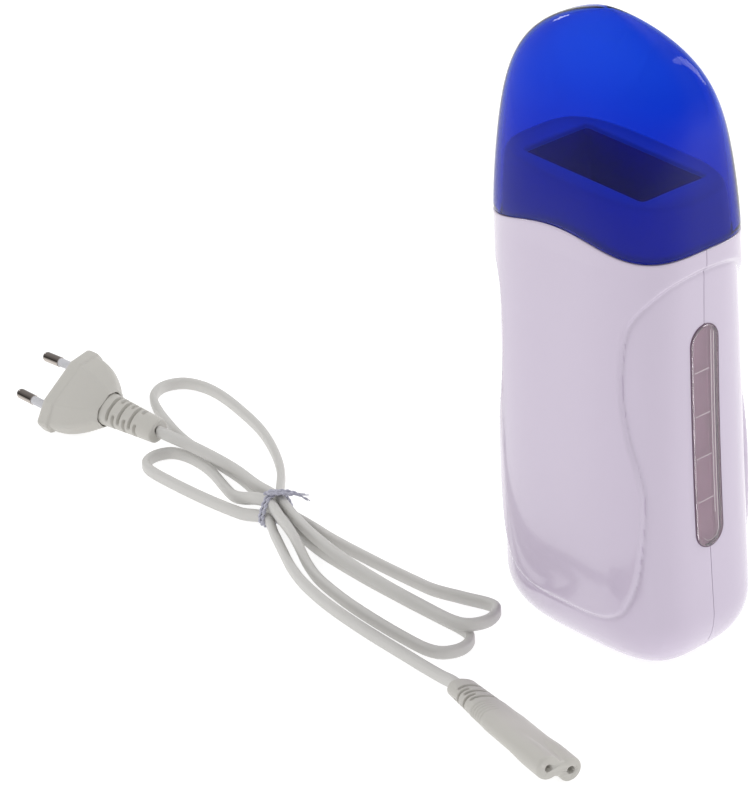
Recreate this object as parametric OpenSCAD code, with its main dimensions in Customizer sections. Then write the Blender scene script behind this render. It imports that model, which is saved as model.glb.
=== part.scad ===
// Roll-on wax heater: a two-shell housing with a heated cartridge well, a translucent cap that
// lifts off, a level window on one side, and a detachable mains cord folded and tied beside it.
// Front is -Y, the level window is on +X, and the heater stands on z = 0 about the origin.

/* [Housing] */
// Height of the heater with its cap on
total_h = 215; // [205:1:230]
// Width of the housing at the foot, before the edge is rounded
foot_w = 82.5; // [80:0.5:86]
// Width of the housing at the grip
grip_w = 75.8; // [73:0.2:79]
// Width of the housing at the rim
rim_w = 79; // [77:0.5:82]
// Depth of the housing at the foot
foot_d = 55; // [54:0.5:58]
// Depth of the housing at the grip
grip_d = 57; // [55:0.5:60]
// Depth of the housing at the rim
rim_d = 53; // [52.5:0.5:55]
// Squareness of the housing's plan, 2 is an ellipse
section_n = 3.6; // [3.2:0.1:4]
// Height of the rim at the middle of the side faces
rim_z = 146; // [143:1:150]
// Rise of the rim at the middle of the front and the back
rim_wave = 5.2; // [3:0.2:7]
// Height of the rounded foot edge
foot_round_h = 20; // [16:1:24]
// How far the foot edge draws in across the width
foot_round_w = 16; // [12:0.5:18]
// How far the foot edge draws in across the depth
foot_round_d = 14; // [11:0.5:15]
// Wall of the two shells
shell_wall = 2.2; // [1.8:0.1:2.6]
// How far the front and back panels and the collar stand out
panel_lift = 1.2; // [0.6:0.1:1.6]
// Gap in the seam between the shells
seam_gap = 0.2; // [0.1:0.1:0.4]

/* [Cap] */
// Wall of the cap
cap_wall = 2; // [1.6:0.1:2.4]
// Gap under the cap's edge
cap_gap = 0.4; // [0.3:0.1:0.8]
// Bluntness of the cap seen from the front
cap_front_power = 6; // [5:0.5:8]
// Bluntness of the cap seen from the side
cap_side_power = 1.44; // [1.3:0.02:1.6]

/* [Neck and well] */
// Height of the deck at the middle
deck_z = 164.5; // [162:0.5:167]
// Fall of the deck towards the window side, degrees
deck_fall = 3.5; // [2:0.5:5]
// Clearance between the neck and the cap, and between the neck and the shells
neck_clear = 0.45; // [0.35:0.05:0.7]
// Wall of the neck and its deck
neck_wall = 2; // [1.6:0.1:2.4]
// How far the neck reaches down inside the shells
neck_drop = 14; // [10:1:18]
// Width of the cartridge well
well_w = 53; // [51:0.5:54]
// Depth of the cartridge well from front to back
well_d = 28; // [27:0.5:29]
// Height of the well's floor
well_floor_z = 44; // [42:1:48]
// Wall of the liner
liner_wall = 1.5; // [1.2:0.1:1.8]

/* [Window] */
// Height of the window's lower end
window_low = 43; // [41:0.5:46]
// Height of the window's upper end
window_high = 120.5; // [116:0.5:122]
// Width of the window
window_w = 12; // [10:0.5:13]
// How far the lens stands out of the wall
lens_proud = 0.7; // [0.4:0.1:1]
// Thickness of the lens
lens_t = 2.4; // [2:0.1:3]

/* [Heating] */
// Height of the heating plate
plate_h = 70; // [60:1:80]
// Width of the heating plate
plate_w = 40; // [34:1:44]
// Thickness of the heating plate
plate_t = 1.6; // [1.2:0.1:1.8]
// Length of the heating element
element_l = 30; // [24:1:34]
// Width of the heating element
element_w = 14; // [12:1:16]
// Thickness of the heating element
element_t = 2.4; // [2:0.1:2.6]
// Radius of the thermal fuse
fuse_r = 2; // [1.5:0.1:2.2]
// Radius of the inner wires
wire_r = 0.9; // [0.7:0.1:1]

/* [Inlet and plug connections] */
// Height of the inlet's centre
inlet_z = 28; // [27:0.5:29]
// Depth of the inlet's recess
inlet_depth = 13; // [12:0.5:13.5]
// Radius of an inlet pin
inlet_pin_r = 1.2; // [1.1:0.05:1.25]
// Distance between the inlet pins, and between the connector's holes
pin_pitch = 8.6; // [8.4:0.1:8.8]
// Width of the connector across both lobes
connector_w = 16.8; // [16.4:0.1:17]
// Thickness of the connector
connector_t = 8.2; // [8:0.1:8.4]
// Length of the connector's body
connector_l = 42; // [38:1:46]
// Length of the connector's strain relief
connector_relief_l = 17; // [14:1:20]

/* [Plug] */
// Width of the plug's face
plug_w = 35.3; // [34:0.1:36]
// Thickness of the plug's face
plug_t = 13.7; // [13:0.1:14]
// Length of the plug's body
plug_l = 27; // [24:1:30]
// Length of the plug's strain relief
plug_relief_l = 24.2; // [20:0.2:26]
// Radius of a plug pin
plug_pin_r = 2; // [1.9:0.05:2.1]
// Length of a plug pin
plug_pin_l = 19; // [18:0.5:20]
// Distance between the plug's pins
plug_pitch = 18.6; // [18:0.2:19]
// Length of the sleeve on a plug pin
sleeve_l = 10; // [8:0.5:11]

/* [Cord] */
// Width of the flat cord, which stands on its narrow edge
cord_w = 4.8; // [4.6:0.1:4.9]
// Thickness of the flat cord
cord_t = 3; // [2.8:0.1:3.1]
// Thickness of the tie around the folded cord
tie_t = 1; // [0.8:0.1:1.1]

/* [Fasteners] */
// Radius of a case screw's thread
screw_r = 1.5; // [1.3:0.1:1.6]
// Radius of a case screw's head
screw_head_r = 2.7; // [2.5:0.1:2.8]

/* [Hidden] */

round_fn = 48;
seam_y = seam_gap/2;

// Panel edge: heights, and the angle from the front centre at each
edge_curve = [[19.5, 5], [21, 14], [24, 23], [27, 28], [37, 38], [50, 44], [62, 47], [68, 47],
  [76, 43], [87, 36], [100, 31], [111, 31], [121, 33], [128, 39], [135, 57], [139, 80], [140, 84]];
edge_band = 5;
edge_foot_z = 18;
shell_levels = [0, 0.8, 3, 6.5, 11, 15.5, 19.5, 21, 24, 28, 33, 40, 50, 60, 68, 76, 87, 99, 111,
  121, 128, 132, 135, 138, 140];
wall_top = shell_levels[len(shell_levels) - 1];
floor_t = 2.4;
floor_pinch = 0.97;

function smooth(t) = let (u = min(1, max(0, t))) u*u*(3 - 2*u);
function through3(t, v0, v1, v2) = v0*(1 - t)*(1 - 2*t) + v1*4*t*(1 - t) + v2*t*(2*t - 1);

// Superellipse of unit half-widths, with the angle counted from the front centre towards +X
function round_x(phi) = sign(sin(phi))*pow(abs(sin(phi)), 2/section_n);
function round_y(phi) = -sign(cos(phi))*pow(abs(cos(phi)), 2/section_n);

function foot_cut(z) = z >= foot_round_h ? 0 : 1 - sqrt(max(0, 1 - pow(1 - z/foot_round_h, 2)));
function body_a(z) = through3(min(z, rim_z)/rim_z, foot_w, grip_w, rim_w - 2*panel_lift)/2
  - foot_round_w*foot_cut(z);
function body_b(z) = through3(min(z, rim_z)/rim_z, foot_d, grip_d, rim_d - 2*panel_lift)/2
  - foot_round_d*foot_cut(z);
function edge_angle(z) = lookup(z, edge_curve);
function raised(phi, z) = panel_lift*max(smooth((z - 136)/4),
  z < edge_foot_z ? 0 : smooth((edge_angle(z) - abs(phi))/edge_band + 0.5));

// Rim height over a point of the plan
function rim_at(x, y) = rim_z + rim_wave*pow(cos(90*min(1, abs(x)/(rim_w/2))), 2)
  *min(1, max(0, (abs(y)/(rim_d/2) - 0.6)/0.4));

// Solid between two grids of points that have the same rows and columns
module sheet_solid(outer, inner) {
  rows = len(outer);
  cols = len(outer[0]);
  n = rows*cols;
  points = concat([for (r = outer) for (p = r) p], [for (r = inner) for (p = r) p]);
  function at(i, j) = i*cols + j;
  faces = concat(
    [for (i = [0:rows - 2]) for (j = [0:cols - 2]) let (f = 2*j < cols - 1) each [
      [at(i, j), at(i + 1, j), at(i + (f ? 1 : 0), j + 1)],
      [at(i + (f ? 0 : 1), j), at(i + 1, j + 1), at(i, j + 1)],
      [n + at(i, j), n + at(i + (f ? 1 : 0), j + 1), n + at(i + 1, j)],
      [n + at(i + (f ? 0 : 1), j), n + at(i, j + 1), n + at(i + 1, j + 1)]]],
    [for (i = [0:rows - 2]) each [
      [at(i, 0), n + at(i + 1, 0), at(i + 1, 0)], [at(i, 0), n + at(i, 0), n + at(i + 1, 0)],
      [at(i, cols - 1), at(i + 1, cols - 1), n + at(i + 1, cols - 1)],
      [at(i, cols - 1), n + at(i + 1, cols - 1), n + at(i, cols - 1)]]],
    [for (j = [0:cols - 2]) each [
      [at(0, j), at(0, j + 1), n + at(0, j + 1)], [at(0, j), n + at(0, j + 1), n + at(0, j)],
      [at(rows - 1, j), n + at(rows - 1, j + 1), at(rows - 1, j + 1)],
      [at(rows - 1, j), n + at(rows - 1, j), n + at(rows - 1, j + 1)]]]);
  polyhedron(points = points, faces = faces);
}

// Solid skinned over closed rings, with a flat face at the first and the last ring
module ring_solid(rings) {
  cols = len(rings[0]);
  last = (len(rings) - 1)*cols;
  points = [for (r = rings) for (p = r) p];
  faces = concat(
    [[for (j = [0:cols - 1]) j], [for (j = [cols - 1:-1:0]) last + j]],
    [for (i = [0:len(rings) - 2]) for (j = [0:cols - 1]) let (k = (j + 1) % cols) each [
      [i*cols + j, (i + 1)*cols + j, (i + 1)*cols + k],
      [i*cols + j, (i + 1)*cols + k, i*cols + k]]]);
  polyhedron(points = points, faces = faces);
}

// ---- shells ----
// Angle at which the plan with half-depth b meets the seam
function seam_angle(b) = acos(pow(seam_y/b, section_n/2));
// Columns of a shell row: side, panel edge, panel, panel edge, side
function shell_angles(e, s) = concat(
  [for (k = [0:4]) -s + (s - e - edge_band/2)*k/5], [-e - edge_band/2, -e],
  [for (k = [0:8]) (e - edge_band/2)*(k/4 - 1)],
  [e, e + edge_band/2], [for (k = [1:5]) e + edge_band/2 + (s - e - edge_band/2)*k/5]);
function shell_row(z, drop, z_point) = let (a = body_a(z), b = body_b(z))
  [for (phi = shell_angles(min(84, max(8, edge_angle(z))), seam_angle(b - drop)))
    let (g = raised(phi, z) - drop, x = (a + g)*round_x(phi),
      y = abs(phi) >= seam_angle(b - drop) - 0.001 ? -seam_y : (b + g)*round_y(phi))
    [x, y, z_point]];
function floor_row(row) = [for (p = row) [p[0]*floor_pinch, -seam_y, p[2]]];
function rim_row(drop) = [for (p = shell_row(rim_z, drop, rim_z)) [p[0], p[1], rim_at(p[0], p[1])]];
function shell_outer() = let (rows = [for (z = shell_levels) shell_row(z, 0, z)])
  concat([floor_row(rows[0])], rows, [rim_row(0)]);
function shell_inner() = let (rows = [for (z = shell_levels)
  let (zi = floor_t + z*(wall_top - floor_t)/wall_top) shell_row(zi, shell_wall, zi)])
  concat([floor_row(rows[0])], rows, [rim_row(shell_wall)]);

// Screw bosses: across, up, and how far each reaches from the seam
low_boss_in = 24.25;
high_boss_in = 12.75;
low_boss = [foot_w/2 - low_boss_in, 15, 24.8];
high_boss = [foot_w/2 - high_boss_in, 34, 23.5];
boss_r = 4;
thread_l = 10;
head_seat_y = 6;
head_clear = 0.3;
rib_in = 2;
rib_x = well_w/2 - rib_in;
rib_t = 2;
ledge = [8, 4.5, 6];
ledge_x = 16;
ledge_y = 20.6;
neck_foot_z = rim_z - neck_drop;
liner_foot_z = well_floor_z - liner_wall;

module at_bosses() {
  for (s = [-1, 1])
    for (p = [low_boss, high_boss])
      translate([s*p[0], 0, p[1]]) rotate([-90, 0, 0]) children();
}
module bosses() {
  for (s = [-1, 1])
    for (p = [low_boss, high_boss])
      translate([s*p[0], seam_y, p[1]]) rotate([-90, 0, 0])
        cylinder(r = boss_r, h = p[2] - seam_y, $fn = 32);
}

module shell_half() {
  sheet_solid(shell_outer(), shell_inner());
  for (s = [-1, 1]) {
    translate([s*rib_x - rib_t/2, -15, floor_t - 0.6])
      cube([rib_t, 14, liner_foot_z - floor_t + 0.6]);
    translate([s > 0 ? ledge_x : -ledge_x - ledge[0], -ledge_y - ledge[1], neck_foot_z - ledge[2]])
      cube(ledge);
  }
}

module window_cut() {
  r = window_w/2;
  translate([30, 0, 0]) rotate([90, 0, 90]) linear_extrude(20) {
    translate([0, window_low + window_w/2]) circle(r, $fn = round_fn);
    translate([0, window_high - window_w/2]) circle(r, $fn = round_fn);
    translate([-r, window_low + window_w/2]) square([2*r, window_high - window_low - window_w]);
  }
}

module front_shell() {
  color([0.83, 0.81, 0.85]) difference() {
    union() {
      shell_half();
      mirror([0, 1, 0]) bosses();
    }
    at_bosses() translate([0, 0, -thread_l - 2]) cylinder(r = screw_r, h = thread_l + 10, $fn = 24);
    window_cut();
  }
}

inlet_w = 21;
inlet_t = 13;
inlet_face_y = 27;
module rear_shell() {
  color([0.83, 0.81, 0.85]) difference() {
    union() {
      mirror([0, 1, 0]) shell_half();
      bosses();
    }
    at_bosses() translate([0, 0, -1]) cylinder(r = screw_r + 0.1, h = 30, $fn = 24);
    at_bosses() translate([0, 0, head_seat_y]) cylinder(r = screw_head_r + head_clear, h = 40, $fn = 24);
    translate([0, 12, inlet_z]) rotate([-90, 0, 0]) flat_oval(inlet_w, inlet_t, 30);
    window_cut();
  }
}

// Straight prism with two round ends, w across and t thick, along +Z
module flat_oval(w, t, h) {
  linear_extrude(h) {
    for (s = [-1, 1]) translate([s*(w - t)/2, 0]) circle(t/2, $fn = round_fn);
    square([w - t, t], center = true);
  }
}

// ---- cap ----
cap_cols = 44;
cap_rows = 14;
function cap_a(t, w) = w/2*pow(max(0, 1 - pow(t, cap_front_power)), 1/1.35);
function cap_b(t, d) = d/2*pow(max(0, 1 - pow(t, cap_side_power)), 1/1.53);
function cap_t(k) = k == cap_rows ? 0.9995 : sin(90*k/cap_rows);
function cap_ring(k, inset, top) = let (t = cap_t(k), a = cap_a(t, rim_w - 2*inset),
  b = cap_b(t, rim_d - 2*inset)) [for (j = [0:cap_cols - 1]) let (phi = 360*j/cap_cols,
    x = a*round_x(phi), y = b*round_y(phi), z0 = cap_gap + rim_at(rim_w/2*round_x(phi),
    rim_d/2*round_y(phi))) [x, y, k == cap_rows ? top : z0 + (top - z0)*t]];
cap_inner_top = total_h - cap_wall;
cap_outer = [for (k = [0:cap_rows]) cap_ring(k, 0, total_h)];
cap_inner = [for (k = [0:cap_rows]) cap_ring(k, cap_wall, cap_inner_top)];

module cap() {
  // The rings run from the crown down the outside, round the edge and up the inside
  color([0.1, 0.27, 0.8, 0.6]) ring_solid(concat(
    [for (k = [cap_rows:-1:0]) [for (j = [cap_cols - 1:-1:0]) cap_outer[k][j]]],
    [for (k = [0:cap_rows]) [for (j = [cap_cols - 1:-1:0]) cap_inner[k][j]]]));
}

// ---- neck ----
neck_cols = 36;
neck_levels = [0, 0.13, 0.28, 0.6, 0.82, 0.92, 0.97, 1];
// How far each level draws in: below the collar the shells are narrower, and the deck's edge is round
neck_draw = [1.25, 1.25, 0, 0, 0, 0.1, 0.5, 1.3];
function deck_at(x) = deck_z - x*tan(deck_fall);
function cap_depth_in(z) = z < rim_z + rim_wave ? rim_d/2 - cap_wall
  : cap_b((z - rim_z)/(cap_inner_top - rim_z), rim_d - 2*cap_wall);
function neck_b(z) = min(rim_d/2 - shell_wall - neck_clear, cap_depth_in(z) - neck_clear - 0.3);
function neck_ring(i, inset, down) = [for (j = [0:neck_cols - 1]) let (phi = 360*j/neck_cols,
  u = neck_levels[i], g = inset + neck_draw[i], a = rim_w/2 - shell_wall - neck_clear - g,
  x = a*round_x(phi), top = deck_at(x) - down, z = neck_foot_z + (top - neck_foot_z)*u)
  [x, (neck_b(z + down) - g)*round_y(phi), z]];
well_r = 1.5;

module well_cut(extra) {
  translate([0, 0, well_floor_z]) linear_extrude(140) {
    square([well_w + 2*extra, well_d + 2*extra - 2*well_r], center = true);
    square([well_w + 2*extra - 2*well_r, well_d + 2*extra], center = true);
    for (s = [-1, 1]) for (t = [-1, 1])
      translate([s*(well_w/2 + extra - well_r), t*(well_d/2 + extra - well_r)])
        circle(well_r, $fn = 24);
  }
}

module neck_collar() {
  levels = len(neck_levels) - 1;
  color([0.55, 0.5, 0.62]) difference() {
    ring_solid(concat(
      [for (i = [levels:-1:0]) [for (p = [neck_cols - 1:-1:0]) neck_ring(i, 0, 0)[p]]],
      [for (i = [0:levels]) [for (p = [neck_cols - 1:-1:0]) neck_ring(i, neck_wall, neck_wall)[p]]]));
    well_cut(0);
  }
}

// ---- liner and window ----
slot_w = 8;
slot_low = 50;
slot_high = 115;
module cartridge_liner() {
  color([0.45, 0.35, 0.4]) difference() {
    translate([-well_w/2 - liner_wall, -well_d/2 - liner_wall, liner_foot_z])
      cube([well_w + 2*liner_wall, well_d + 2*liner_wall, 140]);
    well_cut(0);
    translate([20, -slot_w/2, slot_low]) cube([20, slot_w, slot_high - slot_low]);
    translate([0, 0, deck_z - neck_wall]) rotate([0, deck_fall, 0])
      translate([-60, -60, 0]) cube([120, 120, 80]);
  }
}

lens_levels = 14;
function lens_half(z) = let (r = window_w/2, u = z < window_low + r ? window_low + r - z
  : z > window_high - r ? z - window_high + r : 0) sqrt(max(0.09, r*r - u*u));
function lens_grid(out) = [for (k = [0:lens_levels])
  let (c = (1 - cos(180*k/lens_levels))/2, z = window_low + (window_high - window_low)*c)
  [for (s = [-1, 0, 1]) [body_a(z) + out - 0.25*abs(s), s*lens_half(z), z]]];
module window_lens() {
  color([0.6, 0.55, 0.58, 0.6]) sheet_solid(lens_grid(lens_proud), lens_grid(lens_proud - lens_t));
}

// ---- heating parts, behind the well ----
heat_y = well_d/2 + liner_wall;
plate_z = 60;
element_z = 78;
element_y = heat_y + plate_t;
sheet_t = 0.3;
clip_t = 0.8;
clip_y = element_y + element_t + sheet_t;
clip_arm = 9;
clip_in = 8;
clip_l = element_l - 2*clip_in;

module heater_plate() {
  color([0.75, 0.76, 0.78]) difference() {
    translate([-plate_w/2, heat_y, plate_z]) cube([plate_w, plate_t, plate_h]);
    at_clip_screws() translate([0, 0, -1]) cylinder(r = 1, h = 10, $fn = 24);
  }
}
module at_clip_screws() {
  for (s = [-1, 1])
    translate([s*(element_w/2 + clip_arm - 3), heat_y, element_z + element_l/2])
      rotate([-90, 0, 0]) children();
}
module ptc_element() {
  color([0.7, 0.68, 0.62])
    translate([-element_w/2, element_y, element_z]) cube([element_w, element_t, element_l]);
}
module insulator_sheet() {
  color([0.8, 0.6, 0.25]) translate([-element_w/2 + 0.5, element_y + element_t, element_z - 1])
    cube([element_w - 1, sheet_t, element_l + 2]);
}
module ptc_clip() {
  half = element_w/2 + 0.3;
  reach = clip_y - element_y;
  color([0.62, 0.63, 0.65]) difference() {
    union() {
      translate([-half - clip_t, clip_y, element_z + clip_in])
        cube([2*half + 2*clip_t, clip_t, clip_l]);
      for (s = [0, 1]) mirror([s, 0, 0]) {
        translate([half, element_y, element_z + clip_in]) cube([clip_t, reach + 0.1, clip_l]);
        translate([half, element_y, element_z + clip_in]) cube([clip_arm, clip_t, clip_l]);
      }
    }
    at_clip_screws() cylinder(r = 1.1, h = 10, $fn = 24);
  }
}
module clip_screws() {
  color([0.7, 0.71, 0.73]) at_clip_screws() {
    cylinder(r = 1, h = plate_t + clip_t, $fn = 24);
    translate([0, 0, plate_t + clip_t]) cylinder(r = 1.9, h = 1.3, $fn = 24);
  }
}
fuse_l = 12;
fuse_lead_l = 4;
fuse_z = 68;
module thermal_fuse() {
  color([0.8, 0.78, 0.7]) translate([-fuse_l/2, element_y + fuse_r, fuse_z]) rotate([0, 90, 0]) {
    cylinder(r = fuse_r, h = fuse_l, $fn = 32);
    translate([0, 0, -fuse_lead_l]) cylinder(r = link_r, h = fuse_l + 2*fuse_lead_l, $fn = 16);
  }
}

// ---- inlet ----
inlet_back_t = 2;
inlet_back_y = inlet_face_y - inlet_depth - inlet_back_t;
inlet_root_r = inlet_pin_r + 0.4;
inlet_tail_l = 4;
module figure_eight(w, t, h) {
  linear_extrude(h) {
    for (s = [-1, 1]) translate([s*(w - t)/2, 0]) circle(t/2, $fn = round_fn);
    square([w - t, t*0.72], center = true);
  }
}
module inlet_body() {
  color([0.2, 0.2, 0.22]) difference() {
    translate([0, inlet_back_y, inlet_z]) rotate([-90, 0, 0])
      flat_oval(inlet_w, inlet_t, inlet_face_y - inlet_back_y);
    translate([0, inlet_face_y - inlet_depth, inlet_z]) rotate([-90, 0, 0])
      figure_eight(connector_w + 0.6, connector_t + 0.6, inlet_depth + 5);
    at_inlet_pins() translate([0, 0, -1]) cylinder(r = inlet_root_r, h = inlet_back_t + 2, $fn = 24);
  }
}
module at_inlet_pins() {
  for (s = [-1, 1])
    translate([s*pin_pitch/2, inlet_back_y, inlet_z]) rotate([-90, 0, 0]) children();
}
inlet_pin_reach = 11.5;
module inlet_pins() {
  color([0.8, 0.8, 0.78]) at_inlet_pins() {
    translate([0, 0, -inlet_tail_l])
      cylinder(r = inlet_root_r, h = inlet_tail_l + inlet_back_t, $fn = 24);
    translate([0, 0, inlet_back_t]) cylinder(r = inlet_pin_r, h = inlet_pin_reach, $fn = 24);
    translate([0, 0, inlet_back_t + inlet_pin_reach]) sphere(r = inlet_pin_r, $fn = 24);
  }
}

// ---- tubes along a path ----
function unit(v) = v/norm(v);
function along(path, i) = unit(path[min(len(path) - 1, i + 1)] - path[max(0, i - 1)]);
// Point u of the way from path[i] to path[i + 1] on a curve through all the points
function on_curve(path, i, u) = let (n = len(path) - 1, p0 = path[max(0, i - 1)], p1 = path[i],
  p2 = path[min(n, i + 1)], p3 = path[min(n, i + 2)])
  p1 + 0.5*u*((p2 - p0) + u*((2*p0 - 5*p1 + 4*p2 - p3) + u*(3*p1 - p0 - 3*p2 + p3)));
function curve(path, steps) = concat([for (i = [0:len(path) - 2]) for (k = [0:steps - 1])
  on_curve(path, i, k/steps)], [path[len(path) - 1]]);
// Rings of a section along a path that never runs along top; the section is a list of [across, up]
function path_rings(path, section, top) = [for (i = [0:len(path) - 1])
  let (d = along(path, i), s = unit(cross(top, d)), u = cross(d, s))
  [for (q = section) path[i] + s*q[0] + u*q[1]]];
function ring_section(r, n) = [for (k = [0:n - 1]) [r*cos(360*k/n), r*sin(360*k/n)]];
module path_tube(path, section, top) {
  ring_solid(path_rings(path, section, top));
}

pin_tail_y = inlet_back_y - inlet_tail_l;
wire_start = [[-pin_pitch/2, pin_tail_y, inlet_z], [-pin_pitch/2, pin_tail_y - 1, inlet_z],
  [-pin_pitch/2, pin_tail_y - 2.5, inlet_z], [-6, 3.2, 30], [-10, 3, 34], [-13.5, 7, 37],
  [-15.5, 13, 38.2], [-17, 17.6, 41], [-19.5, 19, 48]];
lead_end = fuse_l/2 + fuse_lead_l;
lead_y = element_y + fuse_r;
live_path = concat(wire_start, [[-20.5, 19.3, 57], [-18, lead_y, 64.5],
  [-lead_end - 4, lead_y, fuse_z], [-lead_end - 2, lead_y, fuse_z], [-lead_end, lead_y, fuse_z]]);
element_side = element_w/2;
tab_y = element_y + element_t/2;
tab_high = element_z + 6.2;
tab_low = element_z + 2.5;
neutral_path = concat([for (p = wire_start) [-p[0], p[1], p[2]]], [[21, 19.6, 58], [20, 19.9, 70],
  [17, 19.5, 79], [element_side + 6, 18.6, tab_high - 0.6], [element_side + 3, tab_y, tab_high],
  [element_side + 1.5, tab_y, tab_high], [element_side, tab_y, tab_high]]);
link_path = [[lead_end, lead_y, fuse_z], [lead_end + 0.4, lead_y, fuse_z],
  [lead_end + 0.8, lead_y, fuse_z], [12.3, 19, 70.5], [12.6, 18.8, 76], [10.6, tab_y, 80],
  [element_side + 1.6, tab_y, tab_low], [element_side + 0.8, tab_y, tab_low],
  [element_side, tab_y, tab_low]];
link_r = 0.5;
module live_wire() {
  color([0.5, 0.3, 0.2]) path_tube(curve(live_path, 2), ring_section(wire_r, 8), [1, -1, 1]);
}
module neutral_wire() {
  color([0.25, 0.35, 0.65]) path_tube(curve(neutral_path, 2), ring_section(wire_r, 8), [-1, -1, 1]);
}

module fuse_link() {
  color([0.8, 0.8, 0.78]) path_tube(curve(link_path, 2), ring_section(link_r, 8), [0, 1, 0]);
}

module case_screws() {
  color([0.72, 0.73, 0.75]) at_bosses() {
    translate([0, 0, -thread_l]) cylinder(r = screw_r, h = thread_l + head_seat_y, $fn = 24);
    translate([0, 0, head_seat_y]) difference() {
      cylinder(r = screw_head_r, h = 2, $fn = 32);
      for (a = [0, 90]) rotate([0, 0, a]) translate([-1.6, -0.35, 1]) cube([3.2, 0.7, 2]);
    }
  }
}

// ---- plug ----
plug_place = [-265.5, -38.7, 12];
plug_turn = [0, -3.4, 186.8];
plug_roll = -35;
module at_plug() {
  translate(plug_place) rotate(plug_turn) rotate([plug_roll, 0, 0]) children();
}
// Six-sided plug face with rounded corners, w across and t thick
module plug_outline(w, t) {
  hull() {
    for (s = [-1, 1]) {
      translate([s*(w/2 - 3), 0]) circle(3, $fn = 32);
      for (q = [-1, 1]) translate([s*(w/2 - t*0.62), q*(t/2 - 2)]) circle(2, $fn = 32);
    }
  }
}
module plug_slab(x, w, t, h) {
  translate([x, 0, 0]) rotate([90, 0, 90]) linear_extrude(h) plug_outline(w, t);
}
relief_start = -plug_l;
pin_lean = 1.5;
pin_core_r = plug_pin_r - 0.7;
sleeve_r = plug_pin_r - 0.3;
sleeve_gap = 0.06;
pin_root_l = 12;
module plug_body() {
  color([0.8, 0.79, 0.77]) at_plug() difference() {
    union() {
      hull() {
        plug_slab(-1.2, plug_w - 1.6, plug_t - 1.6, 1.2);
        plug_slab(-8, plug_w, plug_t, 6.4);
      }
      hull() {
        plug_slab(-9, plug_w, plug_t, 1);
        plug_slab(-16, plug_w*0.62, plug_t*0.9, 1);
      }
      hull() {
        plug_slab(-16.5, plug_w*0.6, plug_t*0.88, 1);
        plug_slab(relief_start, 15, 10.5, 1);
      }
    }
    at_plug_pins() translate([0, 0, -pin_root_l]) cylinder(r = pin_core_r, h = 20, $fn = 32);
  }
}
module at_plug_pins() {
  for (s = [-1, 1])
    translate([0, s*plug_pitch/2, 0]) rotate([0, 90, 0]) rotate([s*pin_lean, 0, 0]) children();
}
module plug_pins() {
  color([0.8, 0.79, 0.76]) at_plug() at_plug_pins() {
    translate([0, 0, -pin_root_l]) cylinder(r = pin_core_r, h = pin_root_l + sleeve_l, $fn = 32);
    translate([0, 0, sleeve_l]) cylinder(r = plug_pin_r, h = plug_pin_l - sleeve_l - plug_pin_r,
      $fn = 32);
    translate([0, 0, plug_pin_l - plug_pin_r]) sphere(r = plug_pin_r, $fn = 32);
  }
}
module pin_sleeves() {
  color([0.93, 0.93, 0.92]) at_plug() at_plug_pins() difference() {
    translate([0, 0, sleeve_gap]) cylinder(r = sleeve_r, h = sleeve_l - sleeve_gap, $fn = 32);
    translate([0, 0, -1]) cylinder(r = pin_core_r, h = sleeve_l + 2, $fn = 32);
  }
}
// Tapered strain relief along -X with rows of slots, from an oval w by t to one of w_end by t_end
module relief(l, w, t, w_end, t_end, slots) {
  step = l/(slots + 1);
  difference() {
    hull() {
      translate([-0.5, 0, 0]) rotate([90, 0, 90]) flat_oval(w, t, 0.5);
      translate([-l, 0, 0]) rotate([90, 0, 90]) flat_oval(w_end, t_end, 0.5);
    }
    for (k = [1:slots]) for (s = [-1, 1]) {
      translate([-k*step - 0.8, -w, s > 0 ? cord_t/2 + 0.2 : -t]) cube([1.6, 2*w, t - cord_t/2 - 0.2]);
    }
  }
}
module plug_relief() {
  color([0.8, 0.79, 0.77]) at_plug() translate([relief_start, 0, 0])
    relief(plug_relief_l, 12.5, 9.5, 7.8, 6.8, 3);
}

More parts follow.
